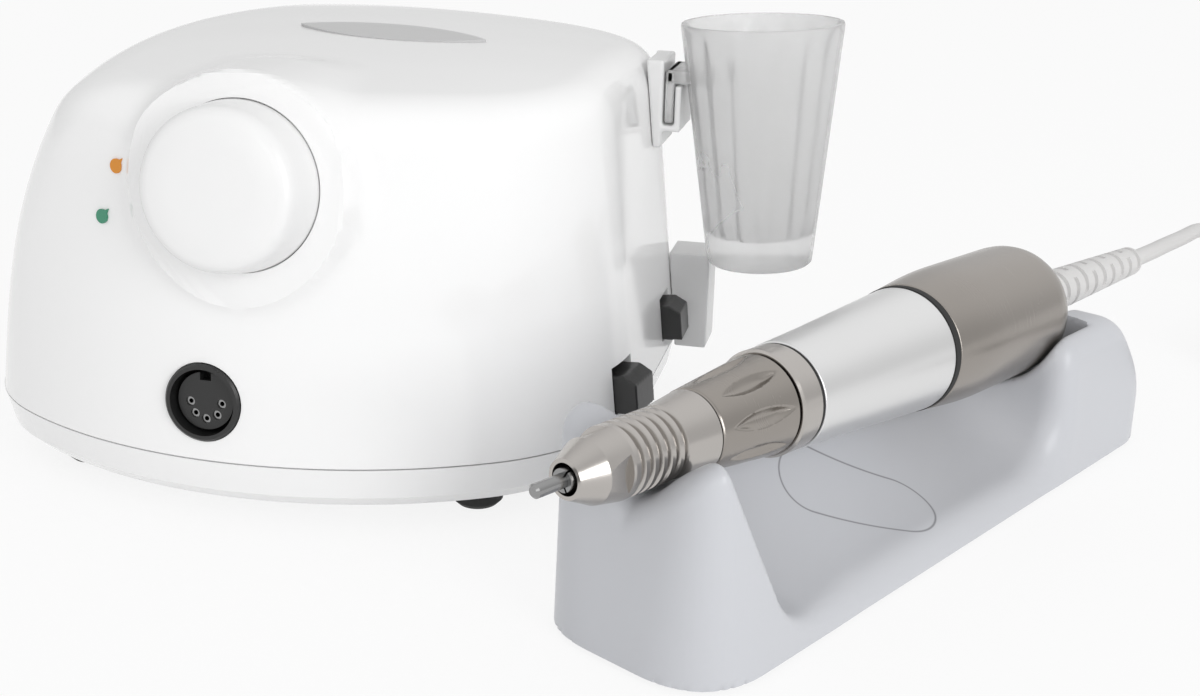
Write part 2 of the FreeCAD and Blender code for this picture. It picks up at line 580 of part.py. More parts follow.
def lamps_and_badge():
    for label, frame in (("led_orange", AMBER), ("led_green", GREEN)):
        lens = teardrop("0", "lamp_proud - lamp_length", "lamp_length")
        node(label, lens, BOX.multiply(frame))
    sagitta = "badge_length ^ 2 / 8 / crown_radius"
    node("top_badge", pointed_oval("0", "-badge_depth - %s + 0.1" % sagitta, "badge_depth + %s" % sagitta),
         BOX.multiply(BADGE))


SWITCH_WIDTH = "lever_width + 2 * lever_gap + 2 * switch_wall"
SWITCH_LENGTH = "lever_length + 4 * lever_travel + 2 * switch_wall"
SWITCH_LOW = "-wall - switch_gap - switch_depth"


def lever_switch(body_label, lever_label, frame):
    """A short lever in the wall that tips up and down on a cross pin."""
    place = BOX.multiply(frame)
    half = "(lever_length / 2)"
    side = [("-%s" % half, "-1.2 - lever_pivot"), (half, "-1.2 - lever_pivot"), (half, "lever_proud - 2.6"),
            ("%s - 1.8" % half, "lever_proud"), ("-%s" % half, "lever_proud")]
    paddle = plate(side, "lever_width", Placement(spot("-lever_width / 2", 0, 0),
                   Rotation(Vector(0, 1, 0), UP, Vector(1, 0, 0), "ZXY")))
    across = Rotation(Vector(0, 1, 0), 90)
    pin_half = "lever_width / 2 + lever_gap + 0.8 * switch_wall"
    pin = rod("lever_pin", "2 * (%s)" % pin_half, ("-(%s)" % pin_half, 0, "-lever_pivot"), across)
    node(lever_label, fuse(paddle, pin), place)
    low = SWITCH_LOW
    box = block((0, 0), low, (SWITCH_WIDTH, SWITCH_LENGTH, "switch_depth"))
    room = block((0, 0), "%s + switch_wall" % low, ("lever_width + 2 * lever_gap",
                 "lever_length + 4 * lever_travel", "switch_depth"))
    hole = rod("lever_pin + fit_gap", "3 * lever_width", ("-1.5 * lever_width", 0, "-lever_pivot"), across)
    terminals = [block((0, 4 * step), "%s - 5" % low, (0.8, 2.8, 5.2)) for step in (-1, 0, 1)]
    node(body_label, fuse(cut(box, room, hole), *terminals), place)


def back_fittings():
    body = block((0, 0), "-inlet_depth", ("inlet_width", "inlet_height", "inlet_depth + 0.8"))
    mouth = block((0, 0), "-inlet_depth + 3", ("inlet_width - 4", "inlet_height - 4", "inlet_depth"))
    pins = [rod(1.2, "inlet_depth - 4", (4 * side, 0, "-inlet_depth + 2")) for side in (-1, 1)]
    node("mains_inlet", fuse(cut(body, mouth), *pins), BOX.multiply(INLET))
    cap = turned([(0, 1.6), ("fuse_radius - 1", 1.6), ("fuse_radius - 0.3", 0.8), ("fuse_radius", 0),
                  ("fuse_radius", "-fuse_length / 3"), ("fuse_radius / 2", "-fuse_length / 3"),
                  ("fuse_radius / 2", "-fuse_length"), (0, "-fuse_length")])
    slot = block((0, 0), 0.8, (7, 1.2, 2))
    node("fuse_holder", cut(cap, slot), BOX.multiply(FUSE))
    jack = turned([("jack_bore", 1), ("jack_radius - 0.5", 1), ("jack_radius", 0.5),
                   ("jack_radius", "-jack_depth"),
                   (0, "-jack_depth"), (0, "2 - jack_depth"), ("jack_bore", "2 - jack_depth")])
    node("pedal_jack", jack, BOX.multiply(JACK))


BRACKET_FRONT = "half_width - bracket_in"


def bur_cup():
    lean = Placement(spot("half_width + cup_out", "cup_y", "cup_rim_z"),
                     Rotation(Vector(0, 1, 0), -value("cup_lean")))
    taper = "((cup_radius - cup_foot) / cup_height)"
    rings = []
    for height, grow in (("cup_band - cup_height", "0.2"), ("-cup_lip", "0.2")):
        ring = doc.addObject("Part::RegularPolygon", "Ring")
        ring.setExpression("Circumradius", cell("cup_radius + %s * (%s) + %s" % (taper, height, grow)))
        ring.setExpression("Polygon", cell("cup_flutes"))
        ring.Placement = Placement(spot(0, 0, height), Rotation())
        ring.setExpression("Placement.Base.z", cell(height))
        rings.append(ring)
    flutes = doc.addObject("Part::Loft", "Flutes")
    flutes.Sections = rings
    flutes.Solid = True
    flutes.Ruled = True
    wall = turned([(0, "-cup_height"), ("cup_foot", "-cup_height"),
                   ("cup_radius - cup_lip * %s - 0.3" % taper, "-cup_lip"),
                   ("cup_radius", "-cup_lip + 0.4"), ("cup_radius", 0), (0, 0)])
    hook_low = "hook_low + 0.4"
    tongue_x = BRACKET_FRONT + " + hook_gap + hook_wall / 2"
    top = "hook_lip_top + hook_gap"
    tongue = block((tongue_x, "bracket_y"), hook_low,
                   ("hook_wall", "bracket_width - 2", "%s + hook_bridge - (%s)" % (top, hook_low)))
    bridge_length = "cup_out - cup_radius / 2 + bracket_in - hook_gap"
    bridge = block((BRACKET_FRONT + " + hook_gap + (%s) / 2" % bridge_length, "bracket_y"), top,
                   (bridge_length, "bracket_width - 2", "hook_bridge"))
    inside = turned([(0, "cup_floor - cup_height"), ("cup_foot - cup_wall", "cup_floor - cup_height"),
                     ("cup_radius - cup_wall", 1), (0, 1)])
    body = fuse(placed(group(flutes), lean), placed(wall, lean), tongue, bridge)
    node("bur_cup", cut(body, placed(inside, lean)), BOX)


def cup_bracket():
    front = BRACKET_FRONT
    lip_x = front + " + 2 * hook_gap + hook_wall"
    plate_block = block(("%s - 6" % front, "bracket_y"), "bracket_low",
                        (12, "bracket_width", "bracket_high - bracket_low"))
    shelf_length = "%s + hook_lip - (%s)" % (lip_x, front)
    shelf = block(("%s + (%s) / 2" % (front, shelf_length), "bracket_y"), "hook_low - hook_lip",
                  (shelf_length, "bracket_width", "hook_lip"))
    lip = block(("%s + hook_lip / 2" % lip_x, "bracket_y"), "hook_low - hook_lip",
                ("hook_lip", "bracket_width", "hook_lip_top - hook_low + hook_lip"))
    wall_face = pebble_wall("wall_draft", "-0.1")
    node("cup_bracket", cut(fuse(plate_block, shelf, lip), wall_face), BOX)
    post = block(("half_width + prop_out + prop_thick / 2 - 2", "prop_y"), "prop_low",
                 ("prop_thick + 4", "prop_width", "prop_high - prop_low"))
    node("cup_prop", cut(post, wall_face, pebble_wall("0", "-0.1", "seam_height - 12", "13")), BOX)


def transformer():
    deck = "foot_height + tray_floor + core_lift"
    centre = ("core_x", "core_y")
    core = block(centre, deck, ("core_length", "core_width", "core_height"))
    holes = []
    window_width = "(core_length - 4 * core_limb) / 2"
    for side in ("-", ""):
        holes.append(block(("core_x %s (core_limb + %s / 2)" % (side or "+", window_width), "core_y"),
                           "%s + core_limb" % deck, (window_width, "2 * core_width",
                                                     "core_height - 2 * core_limb")))
    node("transformer_core", cut(core, *holes), BOX)
    low = "%s + core_limb + coil_gap" % deck
    tall = "core_height - 2 * core_limb - 2 * coil_gap"
    winding = block(centre, low,
                    ("core_length - 2 * core_limb - 2 * coil_gap", "core_width + 2 * coil_swell", tall))
    limb = block(centre, "%s - 1" % low,
                 ("2 * core_limb + 2 * coil_gap", "core_width + 2 * coil_gap", "core_height"))
    rounded = doc.addObject("Part::Fillet", "Fillet")
    rounded.Base = winding
    doc.recompute()
    rounded.Edges = [(order, value("coil_swell") / 2, value("coil_swell") / 2)
                     for order, edge in enumerate(winding.Shape.Edges, 1) if edge.BoundBox.ZLength > 1]
    node("transformer_windings", cut(rounded, limb), BOX)
    strap_long = "core_length + 2 * bracket_sheet + 2 * coil_gap"
    outer = block(centre, "%s - core_lift + 0.1" % deck, (strap_long, "core_width - 6",
                  "core_height + core_lift + bracket_sheet + 0.2"))
    inner = block(centre, "%s - core_lift - 1" % deck, ("core_length + 2 * coil_gap", "core_width",
                  "core_height + core_lift + 1 + 0.3"))
    feet = block(centre, "%s - core_lift + 0.1" % deck,
                 ("core_length + 16", "core_width - 6", "bracket_sheet"))
    node("transformer_bracket",
         fuse(cut(outer, inner),
              cut(feet,
                  block(centre, 0, ("core_length + 2 * coil_gap", "core_width", "core_height")))), BOX)


def circuit_board():
    deck = "foot_height + tray_floor + board_lift"
    sheet_block = block(("board_x", "board_y"), deck, ("board_length", "board_width", "board_sheet"))
    corners = [("board_x %s (board_length / 2 - 4)" % a, "board_y %s (board_width / 2 - 4)" % b)
               for a in "-+" for b in "-+"]
    holes = [rod("board_screw + 0.1", "2 * board_lift", (x, y, "foot_height + tray_floor"))
             for x, y in corners]
    chips = [block(("board_x + %d" % x, "board_y + %d" % y), "%s + board_sheet" % deck, size)
             for x, y, size in ((-12, -20, (10, 6, 2)), (4, -26, (8, 12, 5)), (-8, 4, (14, 5, 2)))]
    node("control_board", fuse(cut(sheet_block, *holes), *chips), BOX)
    stands = [cut(rod(2.6, "board_lift - 0.2", (x, y, "foot_height + tray_floor + 0.1")),
                  rod("board_screw + 0.1", "3 * board_lift", (x, y, 0))) for x, y in corners]
    node("board_standoffs", group(*stands), BOX)
    screw = small_screw("board_screw", "2 * board_screw", "board_lift")
    top = "%s + board_sheet + 0.1 + 1.3 * board_screw" % deck
    node("board_screws", copies(screw, [Placement(spot(x, y, top), Rotation(Vector(1, 0, 0), 180))
                                        for x, y in corners]), BOX)
    can = turned([(0, 0), ("can_radius", 0), ("can_radius", "can_height"), (0, "can_height")])
    top = "%s + board_sheet + 0.1" % deck
    node("filter_capacitors",
         copies(can, [Placement(spot("board_x - 12 + %d" % (14 * k), "board_y + 22", top),
                                                     Rotation()) for k in (0, 1)]), BOX)
    back = block(("board_x + 12", "board_y - 2"), top, (2, "sink_length", "sink_height"))
    fins = [block(("board_x + 12 - sink_depth / 2",
                   "board_y - 2 - (sink_length - fin) / 2 + %d * (sink_length - fin) / (sink_fins - 1)" % k),
                  top, ("sink_depth", "fin", "sink_height")) for k in range(int(value("sink_fins")))]
    node("heat_sink", fuse(back, *fins), BOX)
    tab = block(("board_x + 13.9", "board_y - 2"), "%s + 8" % top, (1.4, 10, 14))
    case = block(("board_x + 15.4", "board_y - 2"), "%s + 8" % top, (4.4, 10, 9))
    legs = [block(("board_x + 15", "board_y - 2 + %s" % dy), top, (0.6, 0.8, 8.2)) for dy in (-2.5, 0, 2.5)]
    node("power_transistor", fuse(tab, case, *legs), BOX)


def cradle_block(draft, inset, low, high):
    """The cradle's footprint: rounded corners, drawn in by an inset."""
    corners = [("cradle_nose", "cradle_nose", "cradle_nose", 180),
               ("cradle_length - cradle_heel", "cradle_heel", "cradle_heel", 270),
               ("cradle_length - cradle_heel", "cradle_width - cradle_heel", "cradle_heel", 0),
               ("cradle_nose", "cradle_width - cradle_nose", "cradle_nose", 90)]
    return rounded_pad(corners, inset, draft, low, high)


def finger_scoop():
    """The hollow along the near side: two arcs spun about a line beside the cradle."""
    body = doc.addObject("PartDesign::Body", "Body")
    sketch = drawing(body, "XZ_Plane")
    radii = ("scoop_turn", "scoop_sweep")
    ends = ("scoop_start", "scoop_end")
    heights = []
    for radius, end in zip(radii, ends):
        heights.append("scoop_radius - %s + sqrt(%s ^ 2 - (scoop_bottom - %s) ^ 2)" % (radius, radius, end))
    start, bottom, end = value("scoop_start"), value("scoop_bottom"), value("scoop_end")
    deep = value("scoop_radius")
    for radius, low, high in ((value(radii[0]), start, bottom), (value(radii[1]), bottom, end)):
        centre = Vector(bottom, deep - radius, 0)
        angles = [math.atan2(math.sqrt(radius ** 2 - (x - bottom) ** 2), x - bottom) for x in (high, low)]
        sketch.addGeometry(Part.ArcOfCircle(Part.Circle(centre, UP, radius), *angles))
    points = [Vector(end, value(heights[1]), 0), Vector(end, 0, 0), Vector(start, 0, 0),
              Vector(start, value(heights[0]), 0)]
    for first, last in zip(points, points[1:]):
        sketch.addGeometry(Part.LineSegment(first, last))
    for index, radius in enumerate(radii):
        hold(sketch, index, 3, "scoop_bottom", "scoop_radius - %s" % radius)
    sketch.addConstraint(Sketcher.Constraint("Coincident", 1, 2, 0, 1))
    hold(sketch, 0, 1, "scoop_bottom", "scoop_radius")
    for pair in ((1, 1, 2, 1), (2, 2, 3, 1), (3, 2, 4, 1), (4, 2, 0, 2)):
        sketch.addConstraint(Sketcher.Constraint("Coincident", *pair))
    hold(sketch, 3, 1, "scoop_end", 0)
    hold(sketch, 3, 2, "scoop_start", 0)
    sketch.addConstraint(Sketcher.Constraint("Vertical", 2))
    sketch.addConstraint(Sketcher.Constraint("Vertical", 4))
    spin = body.newObject("PartDesign::Revolution", "Spin")
    spin.Profile = sketch
    spin.ReferenceAxis = (sketch, ["H_Axis"])
    spin.Angle = 360
    body.Placement = Placement(spot(0, "scoop_across", "scoop_height"), Rotation())
    return body


def hand_place(item):
    """A piece drawn on the handpiece's axis, set down in the cradle's frame."""
    return placed(item, CRADLE.inverse().multiply(HAND))


def cradle():
    profile = [(0, "cradle_lift"), ("cradle_length", "cradle_lift"),
               ("tail_start + 1.25 * tail_run", "tail_height"), ("tail_start", "hump_height"),
               ("scoop_end - 3", "hump_height"), ("scoop_end - 8", "saddle_height"),
               ("horn_length + 5", "saddle_height"), ("horn_length", "horn_height - 5.5"),
               (2, "horn_height"), (0, "horn_height - 1.5")]
    side = plate(profile, "cradle_width",
                 Placement(spot(0, "cradle_width", 0), Rotation(Vector(1, 0, 0), 90)))
    form = cradle_block("cradle_draft", "0", "cradle_lift", "horn_height")
    seat_z = "hand_height - 18 * tan(hand_slope * 1 deg) - nose_body - seat_gap + seat_radius"
    seat = rod("seat_radius", "seat_length + 3", (-2, "hand_across", seat_z), Rotation(Vector(0, 1, 0), 90))
    over = block(("seat_length / 2", "hand_across"), seat_z,
                 ("seat_length + 3", "2 * seat_radius", "horn_height"))
    channel = turned([(0, "seat_length - hand_s - 1"), ("ring_front + 0.8", "seat_length - hand_s - 1"),
                      ("band_radius + 0.8", "band_end"), ("sleeve_rear + 0.8",
                                                          "motor_start"), (0, "motor_start")])
    trough = turned([(0, "motor_start - 0.5"), ("motor_radius + rest_gap", "motor_start - 0.5"),
                     ("motor_radius + rest_gap", "motor_end + 3.5"),
                     ("boot_flange", "motor_end + 3.5"), ("boot_flange", "motor_end + tail_start"),
                     (0, "motor_end + tail_start")])
    room = cradle_block("0", "cradle_rim", "0", "cradle_lift + cradle_plate")
    screws = [("cradle_screw_in", "cradle_width / 2"),
              ("cradle_length - cradle_screw_in", "cradle_width / 2")]
    tools = [finger_scoop(), seat, over, hand_place(channel), hand_place(trough), room]
    for x, y in screws:
        tools.append(rod("screw_radius + fit_gap", 12, (x, y, 0)))
    node("cradle_shell", cut(common(side, form), *tools), CRADLE)
    base = cradle_block("0", "cradle_rim + lip_gap", "cradle_lift", "cradle_plate - 0.1")
    holes = [rod("screw_radius + fit_gap", 12, (x, y, 0)) for x, y in screws]
    sinks = [rod("screw_head + lip_gap", "cradle_lift + 1.3 * screw_radius + 0.15", (x, y, 0))
             for x, y in screws]
    node("cradle_base", cut(base, *holes, *sinks), CRADLE)
    pin = small_screw("screw_radius", "screw_head - 0.2", 9.5)
    low = "cradle_lift + 0.1"
    node("cradle_screws", copies(pin, [Placement(spot(x, y, low), Rotation()) for x, y in screws]), CRADLE)
    pad = turned([(0, 0), ("cradle_foot", 0), ("cradle_foot", "cradle_lift - 0.05"),
                  (0, "cradle_lift - 0.05")])
    corners = [(x, y) for x in ("cradle_foot_in", "cradle_length - cradle_foot_in")
               for y in ("cradle_rim + 1.5 * cradle_foot", "cradle_width - cradle_rim - 1.5 * cradle_foot")]
    node("cradle_feet", copies(pad, [Placement(spot(x, y, 0), Rotation()) for x, y in corners]), CRADLE)


def handpiece_front():
    outline = [("collet_radius + 0.3", 0), ("nose_tip", 0), ("nose_neck + 0.2", 4.5),
               ("nose_body", "groove_start - 1")]
    for index in range(int(value("groove_count"))):
        start = "groove_start + %d * groove_pitch" % index
        outline += [("nose_body", start), ("nose_body - groove_depth", "%s + 0.3" % start),
                    ("nose_body - groove_depth", "%s + 0.9" % start), ("nose_body", "%s + 1.2" % start)]
    outline += [("ring_front - 0.1", "nose_end"), ("bore", "nose_end"), ("bore", 8),
                ("collet_radius + 0.3", 6)]
    flats = [placed(group(block(("nose_neck + 2", 0), "groove_start - 5.7", (4, 12, 4.2))),
                    Placement(Vector(), Rotation(UP, turn)))
             for turn in (30, 150, 270)]
    node("nose_cone", cut(turned(outline), *flats), HAND)
    ring = turned([("spigot + fit_gap", "ring_start"), ("ring_front - 0.3", "ring_start"),
                   ("ring_front", "ring_start + 0.5"), ("ring_rear", "ring_end - 0.5"),
                   ("ring_rear - 0.3", "ring_end"), ("spigot + fit_gap", "ring_end")])
    rise = "(ring_rear - ring_front) / (ring_end - ring_start)"
    slope = "atan(%s)" % rise
    reach = "(scoop_ball - scoop_sink)"
    radial = "ring_front + %s * (scoop_at - ring_start) + %s * cos(%s)" % (rise, reach, slope)
    along = "scoop_at - %s * sin(%s)" % (reach, slope)
    balls = []
    for index in range(int(value("scoop_count"))):
        turn = "%d * 360 / scoop_count * 1 deg" % index
        balls.append(solid("Sphere",
                           ("(%s) * cos(%s)" % (radial, turn), "(%s) * sin(%s)" % (radial, turn), along),
                           Radius="scoop_ball"))
    node("twist_ring", cut(ring, *balls), HAND)
    node("rear_band",
         turned([("spigot + fit_gap", "ring_end + rest_gap"), ("band_radius - 0.4", "ring_end + rest_gap"),
                              ("band_radius", "ring_end + rest_gap + 0.4"), ("band_radius", "band_end"),
                              ("spigot + fit_gap", "band_end")]), HAND)
    node("seal_front",
         turned([("spigot + fit_gap", "band_end + 0.05"), ("band_radius - 0.1", "band_end + 0.05"),
                               ("band_radius - 0.1", "band_end + seal"), ("spigot + fit_gap",
                                                                          "band_end + seal")]), HAND)


def handpiece_rear():
    start = "band_end + seal + 0.05"
    node("front_sleeve",
         turned([("bore", "ring_start + 0.2"), ("spigot", "ring_start + 0.2"), ("spigot", start),
                                 ("sleeve_front", start), ("sleeve_mid", "(band_end + sleeve_end) / 2 - 6"),
                                 ("sleeve_rear", "sleeve_end"), ("sleeve_rear - motor_wall", "sleeve_end"),
                                 ("sleeve_rear - motor_wall", "sleeve_end - 10"), ("bore",
                                                                                   "sleeve_end - 26")]), HAND)
    node("seal_rear",
         turned([("sleeve_rear - motor_wall", "sleeve_end + 0.05"),
                 ("sleeve_rear + 0.1", "sleeve_end + 0.05"),
                              ("sleeve_rear + 0.1", "motor_start - 0.05"),
                              ("sleeve_rear - motor_wall", "motor_start - 0.05")]), HAND)
    inner = "motor_radius - motor_wall"
    node("motor_housing",
         turned([("motor_front - motor_wall", "motor_start"), ("motor_front", "motor_start"),
                                  ("motor_radius", "motor_start + 11"), ("motor_radius",
                                                                         "motor_end - motor_round"),
                                  ("motor_radius - 0.25 * motor_round", "motor_end - 0.3 * motor_round"),
                                  ("motor_radius - 0.8 * motor_round", "motor_end"),
                                  ("boot_radius + 0.1", "motor_end"), ("boot_radius + 0.1",
                                                                       "motor_end - 3"),
                                  (inner, "motor_end - motor_round"), (inner, "motor_start + 11"),
                                  ("motor_front - motor_wall", "motor_start + 2")]), HAND)
    hole = "spindle_radius + fit_gap"
    node("motor_can", turned([(hole, "can_start"), ("motor_can", "can_start"), ("motor_can", "can_end"),
                              (0, "can_end"), (0, "can_start + 8"), (hole, "can_start + 8")]), HAND)
    race = turned([(hole, 0), ("bore - fit_gap", 0), ("bore - fit_gap", "bearing_length"),
                   (hole, "bearing_length")])
    node("bearings",
         copies(race, [Placement(spot(0, 0, at), Rotation()) for at in ("bearing_front", "bearing_rear")]),
         HAND)
    ribs = int(value("boot_ribs"))
    first = "motor_end + 1.2"
    step = "(boot_end - (%s)) / boot_ribs" % first
    outline = [(0, "can_end + 0.3"), ("boot_flange", "can_end + 0.3"),
               ("boot_flange", "motor_end - motor_round + 0.5"),
               ("boot_radius", "motor_end - 3.2"), ("boot_radius", first)]
    for index in range(ribs):
        radius = "boot_radius - %d * (boot_radius - boot_tip) / boot_ribs" % (index + 1)
        outline += [("%s - boot_groove" % radius, "%s + %d * %s" % (first, index, step)),
                    ("%s - boot_groove" % radius, "%s + %s * %s" % (first, index + 0.35, step)),
                    (radius, "%s + %s * %s" % (first, index + 0.35, step)),
                    (radius, "%s + %d * %s" % (first, index + 1, step))]
    outline.append((0, "boot_end"))
    node("cord_boot", turned(outline), HAND)


def spindle():
    node("drive_spindle", turned([(0, "spindle_start"), ("spindle_radius", "spindle_start"),
                                  ("spindle_radius", "can_start + 7"), (0, "can_start + 7")]), HAND)
    sleeve = turned([("collet_bore", -0.6), ("collet_tip - 0.3", -0.6), ("collet_radius", 1.2),
                     ("collet_radius", "spindle_start - 0.1"), ("collet_bore", "spindle_start - 0.1")])
    slits = [placed(group(block((0, "collet_radius"), -1, (0.35, "2 * collet_radius", 6))),
                    Placement(Vector(), Rotation(UP, turn))) for turn in (0, 120, 240)]
    node("collet", cut(sleeve, *slits), HAND)
    node("bur_shank",
         turned([(0, "-bur_proud"), ("bur_radius - 0.4", "-bur_proud"), ("bur_radius", "0.4 - bur_proud"),
                              ("bur_radius", "bur_depth"), (0, "bur_depth")]), HAND)


# Lead, coil and plug: the lead leaves the boot, sinks to the table and is laid in a coil

LEAD = [(185, 88, 29.5), (192, 104, 28), (199.6, 124.5, 26), (208, 139.5, 20.5), (220.5, 149, 13.5),
        (235.5, 150, 7), (248.5, 142, 3.2), (256.5, 127.5, 2)]
TAIL = [(260.5, 66, 6.6), (263.5, 56.5, 6.6)]
BEND = 0.45
COIL_SIDES = 8


def bend(before, corner, after, reach):
    """An arc tangent to both runs at a corner, and its radius."""
    first = (before - corner).normalize()
    last = (after - corner).normalize()
    half_turn = (math.pi - first.getAngle(last)) / 2
    radius = reach / math.tan(half_turn)
    inward = (first + last).normalize()
    middle = corner + inward * (radius / math.cos(half_turn) - radius)
    return Part.Arc(corner + first * reach, middle, corner + last * reach), radius


def route(points):
    """Straight runs joined by tangent arcs, as large as the runs allow."""
    edges, radii, start = [], [], points[0]
    for before, corner, after in zip(points, points[1:], points[2:]):
        reach = BEND * min((corner - before).Length, (after - corner).Length)
        arc, radius = bend(before, corner, after, reach)
        edges += [Part.LineSegment(start, arc.StartPoint).toShape(), arc.toShape()]
        radii.append(radius)
        start = arc.EndPoint
    edges.append(Part.LineSegment(start, points[-1]).toShape())
    return edges, radii


def tube(label, edges, sides=0):
    """A round or many-sided tube along a path, with its volume beside the section times the length."""
    path = Part.Wire(edges)
    start = path.Vertexes[0].Point
    along = edges[0].tangentAt(edges[0].FirstParameter)
    if sides:
        turn = Rotation(UP, along)
        reach = value("cord / 2")
        angles = [(2 * index + 1) * math.pi / sides for index in range(sides + 1)]
        section = Part.makePolygon([start + turn.multVec(Vector(math.cos(a), math.sin(a),
                                                                0) * reach) for a in angles])
    else:
        section = Part.Wire(Part.Circle(start, along, value("cord / 2")).toShape())
    item = doc.addObject("Part::Feature", "Tube")
    item.Shape = path.makePipeShell([section], True, False)
    ideal = Part.Face(section).Area * path.Length
    print("%s: length %.1f, volume %.1f of %.1f" % (label, path.Length, item.Shape.Volume, ideal))
    return node(label, item)


def coil_point(turn):
    """A point of the coil by turns from its start: in, up a layer at the core, and out."""
    turns, pitch = value("coil_turns"), value("coil_pitch")
    inner = value("coil_outer") - pitch * (turns - 1 / 8)
    away = turn - turns
    radius = inner + 2 * pitch * away ** 2 if abs(away) < 1 / 4 else inner + pitch * (abs(away) - 1 / 8)
    climb = min(max(2 * away + 1 / 2, 0), 1)
    height = value("cord / 2") + value("coil_layer") * climb ** 2 * (3 - 2 * climb)
    angle = -2 * math.pi * turn
    return spot("coil_x", "coil_y", 0) + Vector(radius * math.cos(angle), radius * math.sin(angle), height)


def coil_heading(turn):
    step = 1e-5
    return (coil_point(turn + step) - coil_point(turn - step)).normalize()


def pair_of_arcs(start, leaving, end, arriving):
    """Two arcs that share a tangent where they meet, from one heading to another."""
    span, both = end - start, leaving + arriving
    a, b, c = both.dot(both) - 4, -2 * span.dot(both), span.dot(span)
    reach = (-b - math.sqrt(b * b - 4 * a * c)) / (2 * a)
    reach = reach if reach > 0 else (-b + math.sqrt(b * b - 4 * a * c)) / (2 * a)
    first, last = start + leaving * reach, end - arriving * reach
    middle = (first + last) / 2
    return [bend(start, first, middle, reach)[0].toShape(), bend(middle, last, end, reach)[0].toShape()]


def coil_gap():
    """The least gap between the coil's turns, measured on points of its centre line."""
    count = 120
    total = int(2 * value("coil_turns") * count)
    points = [coil_point(index / count) for index in range(total + 1)]
    least = min((points[i] - points[j]).Length for i in range(total + 1)
                for j in range(i + count // 2, min(i + 9 * count, total + 1)))
    return least - value("cord")


def lead_and_coil():
    exit_point = HAND.multVec(spot(0, 0, "boot_end"))
    points = [exit_point, HAND.multVec(spot(0, 0, "boot_end + cord_exit"))]
    points += [BOX.multVec(Vector(*point)) for point in LEAD]
    east = "coil_x + coil_outer"
    points += [spot(east, "coil_y + coil_entry", "cord / 2"), spot(east, "coil_y + cord", "cord / 2")]
    edges, radii = route(points)
    print("lead radii", [round(radius, 1) for radius in radii])
    tube("handpiece_cord", edges)
    turns = 2 * value("coil_turns")
    steps = [index / 4 for index in range(int(4 * turns) + 1)]
    edges = [Part.LineSegment(points[-1], coil_point(0)).toShape()]
    for low, high in zip(steps, steps[1:]):
        edges += pair_of_arcs(coil_point(low), tidy_heading(low, turns), coil_point(high),
                              tidy_heading(high, turns))
    end = coil_point(turns) - Vector(0, value("cord"), 0)
    edges.append(Part.LineSegment(coil_point(turns), end).toShape())
    tube("cord_coil", edges, COIL_SIDES)
    print("least gap in the coil %.2f" % coil_gap())
    points = [end,
              end - Vector(0, value("coil_entry / 2"), 0)] + [BOX.multVec(Vector(*point)) for point in TAIL]
    edges, radii = route(points)
    print("tail radii", [round(radius, 1) for radius in radii])
    tube("cord_tail", edges)
    return Placement(points[-1], Rotation(UP, points[-1] - points[-2]))


def tidy_heading(turn, turns):
    """Square to the coil's radius at both ends, where the straight ends begin."""
    return Vector(0, -1, 0) if turn in (0, turns) else coil_heading(turn)


def plug(place):
    inner = "plug_radius - plug_wall"
    node("plug_boot", turned([(0, 0), ("cord / 2 + 1", 0), ("plug_radius - 1.5", "plug_boot - 3"),
                              ("plug_radius - 1", "plug_boot"), ("%s - fit_gap" % inner, "plug_boot"),
                              ("%s - fit_gap" % inner, "plug_boot + 2.5"), (0, "plug_boot + 2.5")]), place)
    node("plug_shell", turned([(inner, "plug_boot"), ("plug_radius", "plug_boot"),
                               ("plug_radius", "plug_boot + plug_length"), (inner,
                                                                            "plug_boot + plug_length")]), place)
    disc = rod("%s - fit_gap" % inner, "plug_across", (0, 0, "plug_boot + 2.5"))
    places = [(x, y, "plug_boot + 4") for x, y in din_places()]
    pins = [rod("plug_pin", "plug_pin_length", at) for at in places]
    holes = [rod("plug_pin", "plug_pin_length", at) for at in places]
    node("plug_insulator", cut(disc, *holes), place)
    node("plug_pins", group(*pins), place)


upper_housing()
base_tray()
box_fasteners()
speed_control()
handpiece_socket()
lamps_and_badge()
lever_switch("direction_switch_body", "direction_lever", DIRECTION)
lever_switch("power_switch_body", "power_lever", POWER)
back_fittings()
bur_cup()
cup_bracket()
transformer()
circuit_board()
cradle()
handpiece_front()
handpiece_rear()
spindle()
plug(lead_and_coil())

doc.recompute()
for item in doc.Objects:
    if "Invalid" in item.State or "Error" in item.State:
        raise SystemExit("%s did not build: %s" % (item.Label, item.getStatusString()))
for item in NODES:
    if item.Shape.isNull() or not item.Shape.isValid() or not item.Shape.Solids:
        raise SystemExit("%s has no sound shape" % item.Label)
os.makedirs("parts", exist_ok=True)
for item in NODES:
    item.Shape.exportStep("parts/%s.step" % item.Label)
    print("%-22s solids %d, volume %.0f" % (item.Label, len(item.Shape.Solids), item.Shape.Volume))
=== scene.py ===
import json
import math
import bpy
import numpy as np
from mathutils import Matrix, Vector


